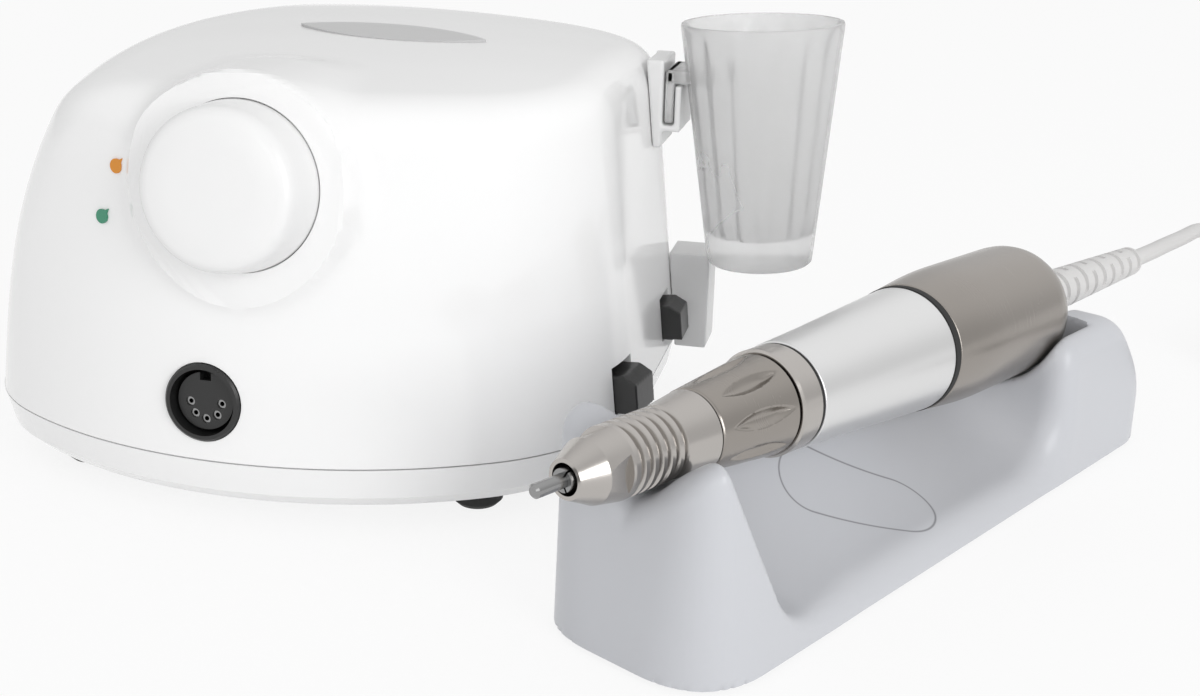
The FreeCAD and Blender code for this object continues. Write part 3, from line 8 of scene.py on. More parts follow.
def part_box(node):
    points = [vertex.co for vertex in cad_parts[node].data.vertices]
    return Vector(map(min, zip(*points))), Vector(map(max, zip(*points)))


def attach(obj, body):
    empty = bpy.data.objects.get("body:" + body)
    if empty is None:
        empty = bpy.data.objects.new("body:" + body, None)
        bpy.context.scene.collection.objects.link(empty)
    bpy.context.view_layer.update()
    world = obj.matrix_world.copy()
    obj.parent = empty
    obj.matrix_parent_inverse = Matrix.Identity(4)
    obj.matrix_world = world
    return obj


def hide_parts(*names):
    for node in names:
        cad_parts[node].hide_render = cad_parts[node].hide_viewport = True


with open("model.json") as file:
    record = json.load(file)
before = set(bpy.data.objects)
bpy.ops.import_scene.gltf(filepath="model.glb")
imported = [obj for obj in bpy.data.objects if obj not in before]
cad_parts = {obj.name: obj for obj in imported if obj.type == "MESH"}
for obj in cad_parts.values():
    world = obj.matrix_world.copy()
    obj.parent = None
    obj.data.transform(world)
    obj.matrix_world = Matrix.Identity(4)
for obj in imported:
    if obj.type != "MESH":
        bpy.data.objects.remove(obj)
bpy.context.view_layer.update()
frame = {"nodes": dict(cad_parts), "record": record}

# Nail drill machine in metres: the box stands left of its cradle, +X right, -Y front, +Z up

MM = 0.001
NODES = frame["nodes"]
SPIN = next(joint for joint in frame["record"]["behaviour"]["joints"]
            if joint["name"] == "spindle_spin")

# The box's seam, in millimetres: half its width, and how far it reaches to the front and the back

HALF_WIDTH = 69
FRONT, BACK = 69, 59
TRAY_CORNER = Vector(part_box("base_tray")[1])
BOX = Vector((TRAY_CORNER.x - HALF_WIDTH * MM, TRAY_CORNER.y - BACK * MM, 0))

# The handpiece's axis: a place at the nose's tip with its Z to the rear

HAND_POINT, HAND_AXIS = Vector(SPIN["pos_m"]), Vector(SPIN["axis"]).normalized()
HAND_STATION = 40
HAND = (Matrix.Translation(HAND_POINT - HAND_AXIS * HAND_STATION * MM)
        @ Vector((0, 0, 1)).rotation_difference(HAND_AXIS).to_matrix().to_4x4())

# Camera: above the machine and right of the box, looking a little down and to the left

CAMERA_PLACE = BOX + Vector((120.62, -305.15, 128.92)) * MM
CAMERA_HEADING = math.radians(11.81)
CAMERA_DIP = math.radians(19.46)
CAMERA_ROLL = math.radians(1.53)


def add_camera():
    camera = bpy.data.cameras.new("camera")
    camera.lens = 45
    camera.sensor_width = 36
    camera.clip_start = 0.01
    item = bpy.data.objects.new("camera", camera)
    bpy.context.collection.objects.link(item)
    ahead = Vector((-math.sin(CAMERA_HEADING), math.cos(CAMERA_HEADING), 0))
    level = Vector((math.cos(CAMERA_HEADING), math.sin(CAMERA_HEADING), 0))
    back = -(ahead * math.cos(CAMERA_DIP) - Vector((0, 0, math.sin(CAMERA_DIP))))
    rise = back.cross(level)
    right = level * math.cos(CAMERA_ROLL) + rise * math.sin(CAMERA_ROLL)
    up = rise * math.cos(CAMERA_ROLL) - level * math.sin(CAMERA_ROLL)
    turn = Matrix((right, up, back)).transposed().to_4x4()
    item.matrix_world = Matrix.Translation(CAMERA_PLACE) @ turn
    bpy.context.scene.camera = item


# Shader building blocks


def add_node(tree, kind, values=None, **settings):
    item = tree.nodes.new(kind)
    for name, setting in settings.items():
        setattr(item, name, setting)
    for socket, given in (values or {}).items():
        if isinstance(given, bpy.types.NodeSocket):
            tree.links.new(given, item.inputs[socket])
        else:
            item.inputs[socket].default_value = given
    return item


def new_group(name, inputs, outputs):
    group = bpy.data.node_groups.new(name, "ShaderNodeTree")
    for label, kind, default in inputs:
        socket = group.interface.new_socket(label, in_out="INPUT", socket_type=kind)
        socket.default_value = default
    for label, kind in outputs:
        group.interface.new_socket(label, in_out="OUTPUT", socket_type=kind)
    source = group.nodes.new("NodeGroupInput").outputs
    target = group.nodes.new("NodeGroupOutput")
    return group, source, target


LOOK = [("Colour", "NodeSocketColor"), ("Roughness", "NodeSocketFloat"), ("Height", "NodeSocketFloat")]


def put_out(group, target, source, pattern, middle, height):
    """A tint that shifts where a pattern leaves its middle, its gloss between two limits, a height."""
    change = add_node(group, "ShaderNodeMath", {0: pattern, 1: middle}, operation="SUBTRACT")
    change = add_node(group, "ShaderNodeMath", {0: change.outputs[0], 1: source["Shift"]},
                      operation="MULTIPLY")
    bright = add_node(group, "ShaderNodeMath", {0: change.outputs[0], 1: 1.0}, operation="ADD")
    tint = add_node(group, "ShaderNodeHueSaturation",
                    {"Color": source["Colour"], "Value": bright.outputs[0]})
    gloss = add_node(group, "ShaderNodeMapRange",
                     {"Value": pattern, "To Min": source["Low"], "To Max": source["High"]})
    group.links.new(tint.outputs[0], target.inputs["Colour"])
    group.links.new(gloss.outputs[0], target.inputs["Roughness"])
    group.links.new(height, target.inputs["Height"])


def moulding_group():
    """Faint cloudiness and pebbling of moulded plastic."""
    group, source, target = new_group(
        "moulding",
        [("Colour", "NodeSocketColor", (1, 1, 1, 1)), ("Shift", "NodeSocketFloat", 0.03),
         ("Grain", "NodeSocketFloat", 900), ("Low", "NodeSocketFloat", 0.2),
         ("High", "NodeSocketFloat", 0.3)], LOOK)
    place = add_node(group, "ShaderNodeTexCoord").outputs["Object"]
    cloud = add_node(group, "ShaderNodeTexNoise", {"Vector": place, "Scale": 28.0, "Detail": 3.0})
    grain = add_node(group, "ShaderNodeTexNoise",
                     {"Vector": place, "Scale": source["Grain"], "Detail": 2.0})
    put_out(group, target, source, cloud.outputs["Fac"], 0.5, grain.outputs["Fac"])
    return group


def turning_group():
    """Fine lathe lines round an axis."""
    group, source, target = new_group(
        "turning",
        [("Colour", "NodeSocketColor", (1, 1, 1, 1)), ("Shift", "NodeSocketFloat", 0.1),
         ("Along", "NodeSocketVector", (0, 0, 1)), ("Lines", "NodeSocketFloat", 9000),
         ("Low", "NodeSocketFloat", 0.2), ("High", "NodeSocketFloat", 0.35)], LOOK)
    place = add_node(group, "ShaderNodeTexCoord").outputs["Object"]
    along = add_node(group, "ShaderNodeVectorMath", {0: place, 1: source["Along"]},
                     operation="DOT_PRODUCT")
    lines = add_node(group, "ShaderNodeTexNoise",
                     {"W": along.outputs["Value"], "Scale": source["Lines"], "Detail": 2.0},
                     noise_dimensions="1D")
    smudge = add_node(group, "ShaderNodeTexNoise", {"Vector": place, "Scale": 160.0, "Detail": 4.0})
    both = add_node(group, "ShaderNodeMath", {0: lines.outputs["Fac"], 1: smudge.outputs["Fac"]},
                    operation="MULTIPLY")
    put_out(group, target, source, both.outputs[0], 0.25, lines.outputs["Fac"])
    return group


MOULDING = moulding_group()
TURNING = turning_group()


def finish(name, group, inputs, bump, **settings):
    """A material whose colour, gloss and relief come from one effect group."""
    material = bpy.data.materials.new(name)
    material.use_nodes = True
    tree = material.node_tree
    shader = tree.nodes["Principled BSDF"]
    effect = tree.nodes.new("ShaderNodeGroup")
    effect.node_tree = group
    for label, given in inputs.items():
        effect.inputs[label].default_value = given
    relief = add_node(tree, "ShaderNodeBump", {"Strength": bump, "Distance": 0.0002,
                                               "Height": effect.outputs["Height"]})
    tree.links.new(effect.outputs["Colour"], shader.inputs["Base Color"])
    tree.links.new(effect.outputs["Roughness"], shader.inputs["Roughness"])
    tree.links.new(relief.outputs["Normal"], shader.inputs["Normal"])
    for label, given in settings.items():
        shader.inputs[label.replace("_", " ")].default_value = given
    return material


def grey(level, warm=0.0):
    """A linear colour from a display grey, with a little warmth."""
    linear = ((level / 255 + 0.055) / 1.055) ** 2.4
    return (linear * (1 + warm), linear, linear * (1 - warm), 1)


def plastic(name, colour, low, high, bump=0.04, shift=0.03, **settings):
    inputs = {"Colour": colour, "Low": low, "High": high, "Shift": shift, "Grain": 900.0}
    return finish(name, MOULDING, inputs, bump, **settings)


def metal(name, colour, low, high, bump=0.05, shift=0.15):
    inputs = {"Colour": colour, "Low": low, "High": high, "Shift": shift, "Lines": 9000.0,
              "Along": HAND_AXIS}
    return finish(name, TURNING, inputs, bump, Metallic=1.0)


WHITE = plastic("box_white", grey(246), 0.1, 0.16, 0.01, 0.01, Coat_Weight=0.3, Coat_Roughness=0.06)
KNOB_WHITE = plastic("knob_white", grey(240), 0.22, 0.3, 0.02, 0.01)
CRADLE_GREY = plastic("cradle_grey", (0.56, 0.57, 0.6, 1), 0.3, 0.4, 0.03, 0.02)
BLACK = plastic("socket_black", grey(36), 0.28, 0.4, 0.1, 0.3)
RUBBER = plastic("foot_rubber", grey(34), 0.6, 0.8, 0.2, 0.3)
BADGE_GREY = plastic("badge_grey", grey(200), 0.3, 0.4, 0.05, 0.05)
ORANGE = plastic("lamp_orange", (0.72, 0.27, 0.02, 1), 0.1, 0.2, 0.02)
GREEN = plastic("lamp_green", (0.05, 0.27, 0.16, 1), 0.1, 0.2, 0.02)
CUP_CLEAR = plastic("cup_clear", grey(242), 0.2, 0.32, 0.03, 0.02, Transmission_Weight=0.7, IOR=1.25)
FROSTED = plastic("bracket_frosted", grey(232), 0.2, 0.3, 0.03, 0.02)
CORD_GREY = plastic("cord_grey", grey(214, 0.01), 0.4, 0.55, 0.1, 0.04)
BOARD_GREEN = plastic("board_green", (0.02, 0.16, 0.07, 1), 0.3, 0.5)
COPPER = metal("winding_copper", (0.7, 0.33, 0.16, 1), 0.3, 0.5)
STEEL = metal("plated_steel", grey(190), 0.25, 0.45)
BRIGHT = metal("bright_metal", grey(150), 0.16, 0.28)
CHAMPAGNE = metal("champagne_nickel", grey(150, 0.08), 0.22, 0.34, 0.02, 0.08)
# A lighter copy of the champagne nickel for the nose and the rear band: partly their brighter finish,
# partly a painted highlight where they catch the light
NICKEL_WITH_PAINTED_HIGHLIGHT = metal("lighter_nickel_painted_highlight", grey(180, 0.05), 0.2, 0.32, 0.02, 0.08)
SILVER = metal("silver_sleeve", grey(226), 0.3, 0.4, 0.02, 0.04)
BRASS = metal("brass", (0.72, 0.5, 0.2, 1), 0.2, 0.4)

NODE_FINISH = {
    WHITE: ["upper_housing", "base_tray", "cup_bracket", "cup_prop"],
    KNOB_WHITE: ["knob_cap"],
    CRADLE_GREY: ["cradle_shell", "cradle_base"],
    BLACK: ["speed_pot", "din_socket_body", "direction_lever", "direction_switch_body", "power_lever",
            "power_switch_body", "mains_inlet", "fuse_holder", "pedal_jack", "plug_insulator",
            "power_transistor", "filter_capacitors"],
    RUBBER: ["rubber_feet", "cradle_feet", "seal_front", "seal_rear"],
    BADGE_GREY: ["top_badge"],
    ORANGE: ["led_orange"],
    GREEN: ["led_green"],
    CUP_CLEAR: ["bur_cup"],
    CORD_GREY: ["cord_boot", "plug_boot"],
    BOARD_GREEN: ["control_board"],
    COPPER: ["transformer_windings"],
    STEEL: ["tray_screws", "board_screws", "cradle_screws", "pot_nut", "pot_shaft",
            "transformer_bracket", "transformer_core", "motor_can", "heat_sink"],
    BRIGHT: ["din_contacts", "bearings", "plug_shell", "plug_pins", "drive_spindle", "collet",
             "bur_shank"],
    CHAMPAGNE: ["twist_ring", "motor_housing"],
    NICKEL_WITH_PAINTED_HIGHLIGHT: ["nose_cone", "rear_band"],
    SILVER: ["front_sleeve"],
    BRASS: ["board_standoffs"],
}


def dress_nodes():
    for material, names in NODE_FINISH.items():
        for name in names:
            slots = NODES[name].data.materials
            slots.clear()
            slots.append(material)


# The lead: out of the boot, down to the table, a flat coil of two layers and the plug

EXIT = Vector((0.11975, 0.0875, 0.03164))
AFTER_EXIT = Vector((0.12506, 0.09667, 0.03136))
LEAD = [(185, 88, 29.5), (192, 104, 28), (199.6, 124.5, 26), (208, 139.5, 20.5), (220.5, 149, 13.5),
        (235.5, 150, 7), (248.5, 142, 3.2), (256.5, 127.5, 2)]
TAIL = [(260.5, 66, 6.6), (263.5, 56.5, 6.6)]
CORD = 4 * MM
COIL_CENTRE = Vector((0.1752, 0.1153, 0))
COIL_OUTER = 29.8 * MM
COIL_PITCH = 4.55 * MM
COIL_LAYER = 4.5 * MM
COIL_TURNS = 3.5
COIL_POINTS = 20
COIL_ENTRY = 20 * MM


def coil_point(turn):
    inner = COIL_OUTER - COIL_PITCH * (COIL_TURNS - 1 / 8)
    away = turn - COIL_TURNS
    turned = 2 * away ** 2 if abs(away) < 1 / 4 else abs(away) - 1 / 8
    radius = inner + COIL_PITCH * turned
    climb = min(max(2 * away + 1 / 2, 0), 1)
    height = CORD / 2 + COIL_LAYER * climb ** 2 * (3 - 2 * climb)
    angle = -2 * math.pi * turn
    return COIL_CENTRE + Vector((radius * math.cos(angle), radius * math.sin(angle), height))


def cord_route():
    east = COIL_CENTRE + Vector((COIL_OUTER, 0, CORD / 2))
    points = [EXIT, AFTER_EXIT] + [BOX + Vector(point) * MM for point in LEAD]
    points += [east + Vector((0, COIL_ENTRY, 0)), east + Vector((0, CORD, 0))]
    count = int(2 * COIL_TURNS * COIL_POINTS)
    points += [coil_point(index / COIL_POINTS) for index in range(count + 1)]
    end = coil_point(2 * COIL_TURNS) - Vector((0, CORD, 0))
    points += [end, end - Vector((0, COIL_ENTRY / 2, 0))] + [BOX + Vector(point) * MM for point in TAIL]
    return points


def add_cord():
    points = cord_route()
    curve = bpy.data.curves.new("handpiece_lead", "CURVE")
    curve.dimensions = "3D"
    spline = curve.splines.new("NURBS")
    spline.points.add(len(points) - 1)
    for target, point in zip(spline.points, points):
        target.co = (*point, 1)
    spline.order_u = 3
    spline.use_endpoint_u = True
    curve.resolution_u = 6
    curve.bevel_depth = CORD / 2
    curve.bevel_resolution = 5
    curve.use_fill_caps = True
    curve.materials.append(CORD_GREY)
    item = bpy.data.objects.new("handpiece_lead", curve)
    bpy.context.collection.objects.link(item)
    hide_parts("handpiece_cord", "cord_coil", "cord_tail")
    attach(item, "handpiece")


# Upper housing: one smooth shell whose walls, left flank and crown run into each other; each of
# the two balls is a centre and a radius, in millimetres

SEAM = 14
FRONT_BOW, FRONT_CORNER, BACK_CORNER = 95, 42, 34
DRAFT = math.radians(6)
FLANK = ((99, 0, -16), 173)
CROWN = ((-4.7, 9.3, 86.4 - 445), 445)
FLANK_BLEND, SHOULDER_BLEND, BOSS_BLEND = 5.7, 8, 5
SHELL = 3
DISH_RADIUS = 20.5
KNOB_HOLE = 15.6
BOSS_DRAFT, BOSS_EDGE, BOSS_REACH, BOSS_END = 0.07, 1, 25, 9
RINGS, SPOKES = 150, 288
SHAFT_HOLE, SOCKET_HOLE, FUSE_HOLE, JACK_HOLE = 4.25, 7.6, 6.15, 5.65
LEVER_HOLE = (10.3, 10, 0.65)
INLET_HOLE = (21.3, 12.3)
BADGE_SEAT, BADGE_DEPTH = (40.3, 17.3), 1.9
WALL_REACH = 8
CORNER = Vector((HALF_WIDTH - FRONT_CORNER, 0, 0))
CORNER.y = FRONT_BOW - FRONT - math.sqrt((FRONT_BOW - FRONT_CORNER) ** 2 - CORNER.x ** 2)


def facing(place, heading, rise=DRAFT):
    """A place whose Z axis leaves a wall, X runs to the right along it and Y goes up it."""
    heading = math.radians(heading)
    out = Vector((math.cos(heading) * math.cos(rise), math.sin(heading) * math.cos(rise),
                  math.sin(rise)))
    right = Vector((-math.sin(heading), math.cos(heading), 0))
    return Matrix.Translation(place) @ Matrix((right, out.cross(right), out)).transposed().to_4x4()


def wall_inset(height):
    """How far the drafted walls stand in from the seam at a height."""
    return (height - SEAM) * math.tan(DRAFT)


def corner_place(height, heading):
    """A place on the right front corner's wall."""
    reach = FRONT_CORNER - wall_inset(height)
    turn = math.radians(heading)
    return facing(CORNER + Vector((reach * math.cos(turn), reach * math.sin(turn), height)), heading)


DISH = facing((3.6, 5.3 - FRONT, 65.6), -90, math.radians(8))
SOCKET = facing((-3.8, wall_inset(25.1) - FRONT, 25.1), -90)
DIRECTION = corner_place(20.5, -10)
POWER = facing((HALF_WIDTH - wall_inset(21.5), 17.5, 21.5), 0)
INLET = facing((18, BACK - wall_inset(30), 30), 90)
FUSE = facing((-8, BACK - wall_inset(30), 30), 90)
JACK = facing((-26, BACK - wall_inset(30), 30), 90)
BADGE_POINT = Vector((12, -5, 0))


def soft_max(first, second, reach):
    """The higher of two values, eased where they are closer than a reach."""
    near = np.clip(1 - np.abs(first - second) / reach, 0, None)
    return np.maximum(first, second) + near ** 2 * reach / 4


def outline_distance(x, y):
    """How far a point lies outside the seam's outline: front, front corners, sides, back corners."""
    side = np.abs(x)
    bow_y = FRONT_BOW - FRONT
    lean = math.atan2(CORNER.x, bow_y - CORNER.y)
    bow = np.hypot(x, y - bow_y) - FRONT_BOW
    corner = np.hypot(side - CORNER.x, y - CORNER.y) - FRONT_CORNER
    back = np.hypot(np.clip(side - (HALF_WIDTH - BACK_CORNER), 0, None),
                    np.clip(y - (BACK - BACK_CORNER), 0, None)) - BACK_CORNER
    front = np.where((np.arctan2(side, bow_y - y) < lean) & (y < bow_y), bow, corner)
    return np.where(y < CORNER.y, front, np.maximum(side - HALF_WIDTH, back))


def ball_distance(points, ball):
    centre, radius = ball
    return np.linalg.norm(points - np.array(centre), axis=-1) - radius


def housing_form(points):
    """Below zero inside the housing's outer form, in millimetres."""
    x, y, z = points[..., 0], points[..., 1], points[..., 2]
    walls = (outline_distance(x, y) + wall_inset(z)) * math.cos(DRAFT)
    body = soft_max(walls, ball_distance(points, FLANK), FLANK_BLEND)
    body = soft_max(body, ball_distance(points, CROWN), SHOULDER_BLEND)
    away = points - np.array(DISH.translation)
    ahead = away @ np.array(DISH.col[2][:3])
    beside = np.sqrt(np.clip((away ** 2).sum(-1) - ahead ** 2, 0, None))
    cone = beside - DISH_RADIUS + BOSS_DRAFT * ahead
    boss = soft_max(soft_max(cone, ahead, BOSS_EDGE), -ahead - BOSS_REACH, BOSS_END)
    return -soft_max(-body, -boss, BOSS_BLEND)


def form_grid(offset):
    """Points where rays from the seam's middle meet the form, ring by ring up to the top."""
    lift = np.linspace(0, math.pi / 2, RINGS)[:, None]
    turn = np.linspace(0, 2 * math.pi, SPOKES, endpoint=False)[None, :]
    ways = np.stack([np.cos(lift) * np.cos(turn), np.cos(lift) * np.sin(turn),
                     np.sin(lift) + 0 * turn], -1)
    start = np.array((0, -4, SEAM))
    low, high = np.zeros(ways.shape[:2]), np.full(ways.shape[:2], 120.0)
    for _ in range(40):
        mid = (low + high) / 2
        inside = housing_form(start + ways * mid[..., None]) < -offset
        low, high = np.where(inside, mid, low), np.where(inside, high, mid)
    return start + ways * low[..., None]


def grid_faces(first, flip):
    """Faces of such a grid whose points start at an index, the last ring closed by a cap."""
    faces = []
    for ring in range(RINGS - 2):
        low, high = first + ring * SPOKES, first + (ring + 1) * SPOKES
        for spoke in range(SPOKES):
            after = (spoke + 1) % SPOKES
            faces.append([low + spoke, low + after, high + after, high + spoke])
    top = first + (RINGS - 2) * SPOKES
    faces.append([top + spoke for spoke in range(SPOKES)])
    return [face[::-1] for face in faces] if flip else faces


def new_piece(name, points, faces, material):
    mesh = bpy.data.meshes.new(name)
    mesh.from_pydata([tuple(point) for point in points], [], faces)
    mesh.materials.append(material)
    item = bpy.data.objects.new(name, mesh)
    bpy.context.collection.objects.link(item)
    return item


def prism(outline, low, high, place):
    """A cutter: an outline in a frame's X and Y, from low to high along its Z, in millimetres."""
    count = len(outline)
    points = [place @ Vector((x, y, z)) for z in (low, high) for x, y in outline]
    faces = [list(range(count))[::-1], list(range(count, 2 * count))]
    for index in range(count):
        after = (index + 1) % count
        faces.append([index, after, count + after, count + index])
    return points, faces


def ring_outline(radius):
    turns = [2 * math.pi * index / 96 for index in range(96)]
    return [(radius * math.cos(turn), radius * math.sin(turn)) for turn in turns]


def block_outline(width, height, rise=0):
    return [(-width / 2, rise - height / 2), (width / 2, rise - height / 2),
            (width / 2, rise + height / 2), (-width / 2, rise + height / 2)]


def oval_outline(length, width):
    """Two arcs that meet in points."""
    radius = (length ** 2 + width ** 2) / (4 * width)
    half = math.asin(length / 2 / radius)
    side = [(radius * math.sin(turn), radius * math.cos(turn) - radius + width / 2)
            for turn in (half - 2 * half * index / 40 for index in range(40))]
    return side + [(-x, -y) for x, y in side]


def to_machine(points):
    """Points in the control box's millimetres, set down in the machine in metres."""
    return [BOX + Vector(point) * MM for point in points]


def carve(item, cutters):
    """Cut prisms out of a piece and keep the result as its mesh."""
    tools = []
    for points, faces in cutters:
        tool = new_piece("cutter", to_machine(points), faces, item.data.materials[0])
        tools.append(tool)
        change = item.modifiers.new("cut", "BOOLEAN")
        change.object = tool
        change.solver = "MANIFOLD"
    bpy.context.view_layer.update()
    mesh = bpy.data.meshes.new_from_object(item.evaluated_get(bpy.context.evaluated_depsgraph_get()))
    item.modifiers.clear()
    item.data = mesh
    for tool in tools:
        bpy.data.objects.remove(tool)


def smooth_with_edges(mesh, angle=32):
    for face in mesh.polygons:
        face.use_smooth = True
    mesh.set_sharp_from_angle(angle=math.radians(angle))


def badge_place():
    centre = Vector(CROWN[0])
    over = Vector((BADGE_POINT.x, BADGE_POINT.y, centre.z))
    rise = math.sqrt(CROWN[1] ** 2 - (over - centre).length ** 2)
    out = (over + Vector((0, 0, rise)) - centre).normalized()
    turn = Vector((0, 0, 1)).rotation_difference(out).to_matrix().to_4x4()
    return Matrix.Translation(centre + out * CROWN[1]) @ turn @ Matrix.Rotation(math.radians(2), 4, "Z")


def add_housing():
    outer = form_grid(0)
    inner = form_grid(SHELL)
    inner[0, :, 2] = SEAM
    outer_points = outer[:-1].reshape(-1, 3)
    inner_points = inner[:-1].reshape(-1, 3)
    faces = grid_faces(0, False) + grid_faces(len(outer_points), True)
    for spoke in range(SPOKES):
        after = (spoke + 1) % SPOKES
        faces.append([after, spoke, len(outer_points) + spoke, len(outer_points) + after])
    points = to_machine(np.concatenate([outer_points, inner_points]).tolist())
    item = new_piece("housing_shell", points, faces, WHITE)
    through = (-WALL_REACH, WALL_REACH)
    carve(item, [prism(ring_outline(DISH_RADIUS + 4), 0, 30, DISH),
                 prism(ring_outline(KNOB_HOLE), -1.3, 3, DISH),
                 prism(ring_outline(SHAFT_HOLE), -WALL_REACH, 4, DISH),
                 prism(ring_outline(SOCKET_HOLE), *through, SOCKET),
                 prism(block_outline(*LEVER_HOLE), *through, DIRECTION),
                 prism(block_outline(*LEVER_HOLE), *through, POWER),
                 prism(block_outline(*INLET_HOLE), *through, INLET),
                 prism(ring_outline(FUSE_HOLE), *through, FUSE),
                 prism(ring_outline(JACK_HOLE), *through, JACK),
                 prism(oval_outline(*BADGE_SEAT), -BADGE_DEPTH, WALL_REACH, badge_place())])
    smooth_with_edges(item.data)
    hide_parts("upper_housing")
    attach(item, "control_box")


# Cradle: one soft moulding in its own frame, along its length, across and up, in millimetres

CRADLE = (Matrix.Translation(BOX + Vector((96.8, -103.6, 0)) * MM)
          @ Matrix.Rotation(math.radians(59.9), 4, "Z"))
CRADLE_CELL = 0.8
CRADLE_SPACE = (-9, -10, -1), (165, 44, 47)
CRADLE_MIDDLE, CRADLE_HALF, CRADLE_LEAN = 16.75, 20, math.radians(3.8)
CRADLE_FRONT, CRADLE_REAR = -3.7, 158
CRADLE_FOOT, CRADLE_TOP = 0.8, 31.2
HORN_START, HORN_TOP, COLUMN_END, COLUMN_TOP = 5, 42, 14, 31
SEAT_FLAT, SEAT_MIDDLE, SEAT_RISE = 28.8, 28.5, 0.75
TAIL_ALONG, TAIL_UP, TAIL_FALL = 149.6, 20.5, 1.2
SCOOP_AXIS, SCOOP_RADIUS, SCOOP_REAR = (-5.6, 42.8), 37.6, 113.5
MOUTH_ALONG, MOUTH_DIP, MOUTH_FALL = 2.7, 6.7, 1.93
HOLLOW_START, HOLLOW_END, HOLLOW_HALF, HOLLOW_TOP = 2, 153, 14.75, 3.8
TRACK_CENTRE, TRACK_TURN, TRACK_RUN, TRACK_RADIUS = (60.5, 20.2), math.radians(-41.4), 9.4, 7.4
TRACK_LINE, TRACK_NEAR, TRACK_COLOUR = (0.08, 0.3), 1.5, (0.26, 0.26, 0.28, 1)

# The handpiece as it lies in the cradle: how far behind its tip it meets the cradle's front, how high
# its axis is at the tip and how it falls, then its radius with some room, by how far behind the tip

HAND_START, HAND_HEIGHT, HAND_SLOPE = 15.2, 36.8, math.radians(1.5)
HAND_ROOM = [(9, 5.6), (11, 6.5), (29, 7.3), (47, 9.4), (53, 10), (93, 12.7), (94, 14), (145.5, 14),
             (147, 6.8)]


def hand_room(along, across, up):
    """Above zero clear of the handpiece, which can be lifted straight up."""
    station = along + HAND_START
    axis = HAND_HEIGHT - station * math.tan(HAND_SLOPE)
    beside = np.hypot(across - CRADLE_MIDDLE, np.clip(up - axis, None, 0))
    return beside - np.interp(station, *zip(*HAND_ROOM))


def cradle_form(along, across, up):
    """Below zero inside the cradle: leaning walls with a horn, a column, a seat and a tail, less the
    finger scoop, the handpiece's room and the hollow underneath."""
    lean = up * math.tan(CRADLE_LEAN)
    aside = np.abs(across - CRADLE_MIDDLE)
    ends = np.maximum(CRADLE_FRONT - along + lean, along - CRADLE_REAR + lean * 0.3)
    walls = soft_max(aside - CRADLE_HALF + lean, ends, 15 - 8 * up / 40)
    seat = np.maximum(SEAT_MIDDLE + SEAT_RISE * aside, SEAT_FLAT)
    crest = np.minimum(seat, np.interp(along, (HORN_START, COLUMN_END), (HORN_TOP, COLUMN_TOP)))
    top = np.where(along < COLUMN_END, up - crest, up - CRADLE_TOP)
    tail = (up - TAIL_UP + (along - TAIL_ALONG) * TAIL_FALL) / 1.5
    body = soft_max(walls, soft_max(top, tail, 5), 6)
    dip = np.hypot(np.clip(across - SCOOP_AXIS[0], 0, None), np.clip(SCOOP_AXIS[1] - up, 0, None))
    mouth = (dip - MOUTH_DIP - MOUTH_FALL * (along - MOUTH_ALONG)) / 2.17
    scoop = soft_max(soft_max(dip - SCOOP_RADIUS, mouth, 8), along - SCOOP_REAR, 14)
    body = soft_max(body, -scoop, 1.2 + 4.8 * np.clip((along - COLUMN_END) / 25, 0, 1))
    body = soft_max(body, -hand_room(along, across, up), 1.2)
    hollow = np.maximum(np.maximum(HOLLOW_START - along, along - HOLLOW_END),
                        np.maximum(aside - HOLLOW_HALF, up - HOLLOW_TOP))
    return np.maximum(np.maximum(body, -hollow), CRADLE_FOOT - up)


def surface_of(form, low, high, step):
    """The surface where a form is zero, one vertex in each cell that it passes, pulled onto it."""
    counts = [int(round((top - bottom) / step)) + 1 for bottom, top in zip(low, high)]
    axes = [bottom + step * np.arange(count) for bottom, count in zip(low, counts)]
    inside = form(*np.meshgrid(*axes, indexing="ij")) < 0
    cells = np.zeros([count - 1 for count in counts], int)
    for i, j, k in np.ndindex(2, 2, 2):
        cells += inside[i:counts[0] - 1 + i, j:counts[1] - 1 + j, k:counts[2] - 1 + k]
    crossed = (cells > 0) & (cells < 8)
    order = np.full(cells.shape, -1)
    order[crossed] = np.arange(crossed.sum())
    points = np.argwhere(crossed) * step + np.array(low) + step / 2
    for _ in range(8):
        value = form(*points.T)
        slope = np.stack([form(*(points + shift).T) - value for shift in np.eye(3) * 0.01], -1) / 0.01
        move = -value[:, None] * slope / np.clip((slope ** 2).sum(-1), 0.2, None)[:, None]
        points += np.clip(move, -step / 2, step / 2) * 0.7
    faces = []
    for axis in range(3):
        others = [other for other in range(3) if other != axis]
        ahead = [slice(None)] * 3
        behind = [slice(None)] * 3
        ahead[axis], behind[axis] = slice(1, None), slice(None, -1)
        change = inside[tuple(ahead)].astype(int) - inside[tuple(behind)]
        for sign in (1, -1):
            places = np.argwhere(change == sign)
            rings = []
            for first, second in ((0, 0), (-1, 0), (-1, -1), (0, -1)):
                spot = places.copy()
                spot[:, others[0]] += first
                spot[:, others[1]] += second
                rings.append(order[tuple(spot.T)])
            quads = np.stack(rings, -1)
            faces.append(quads if (sign > 0) == (axis == 1) else quads[:, ::-1])
    return points, np.concatenate(faces)


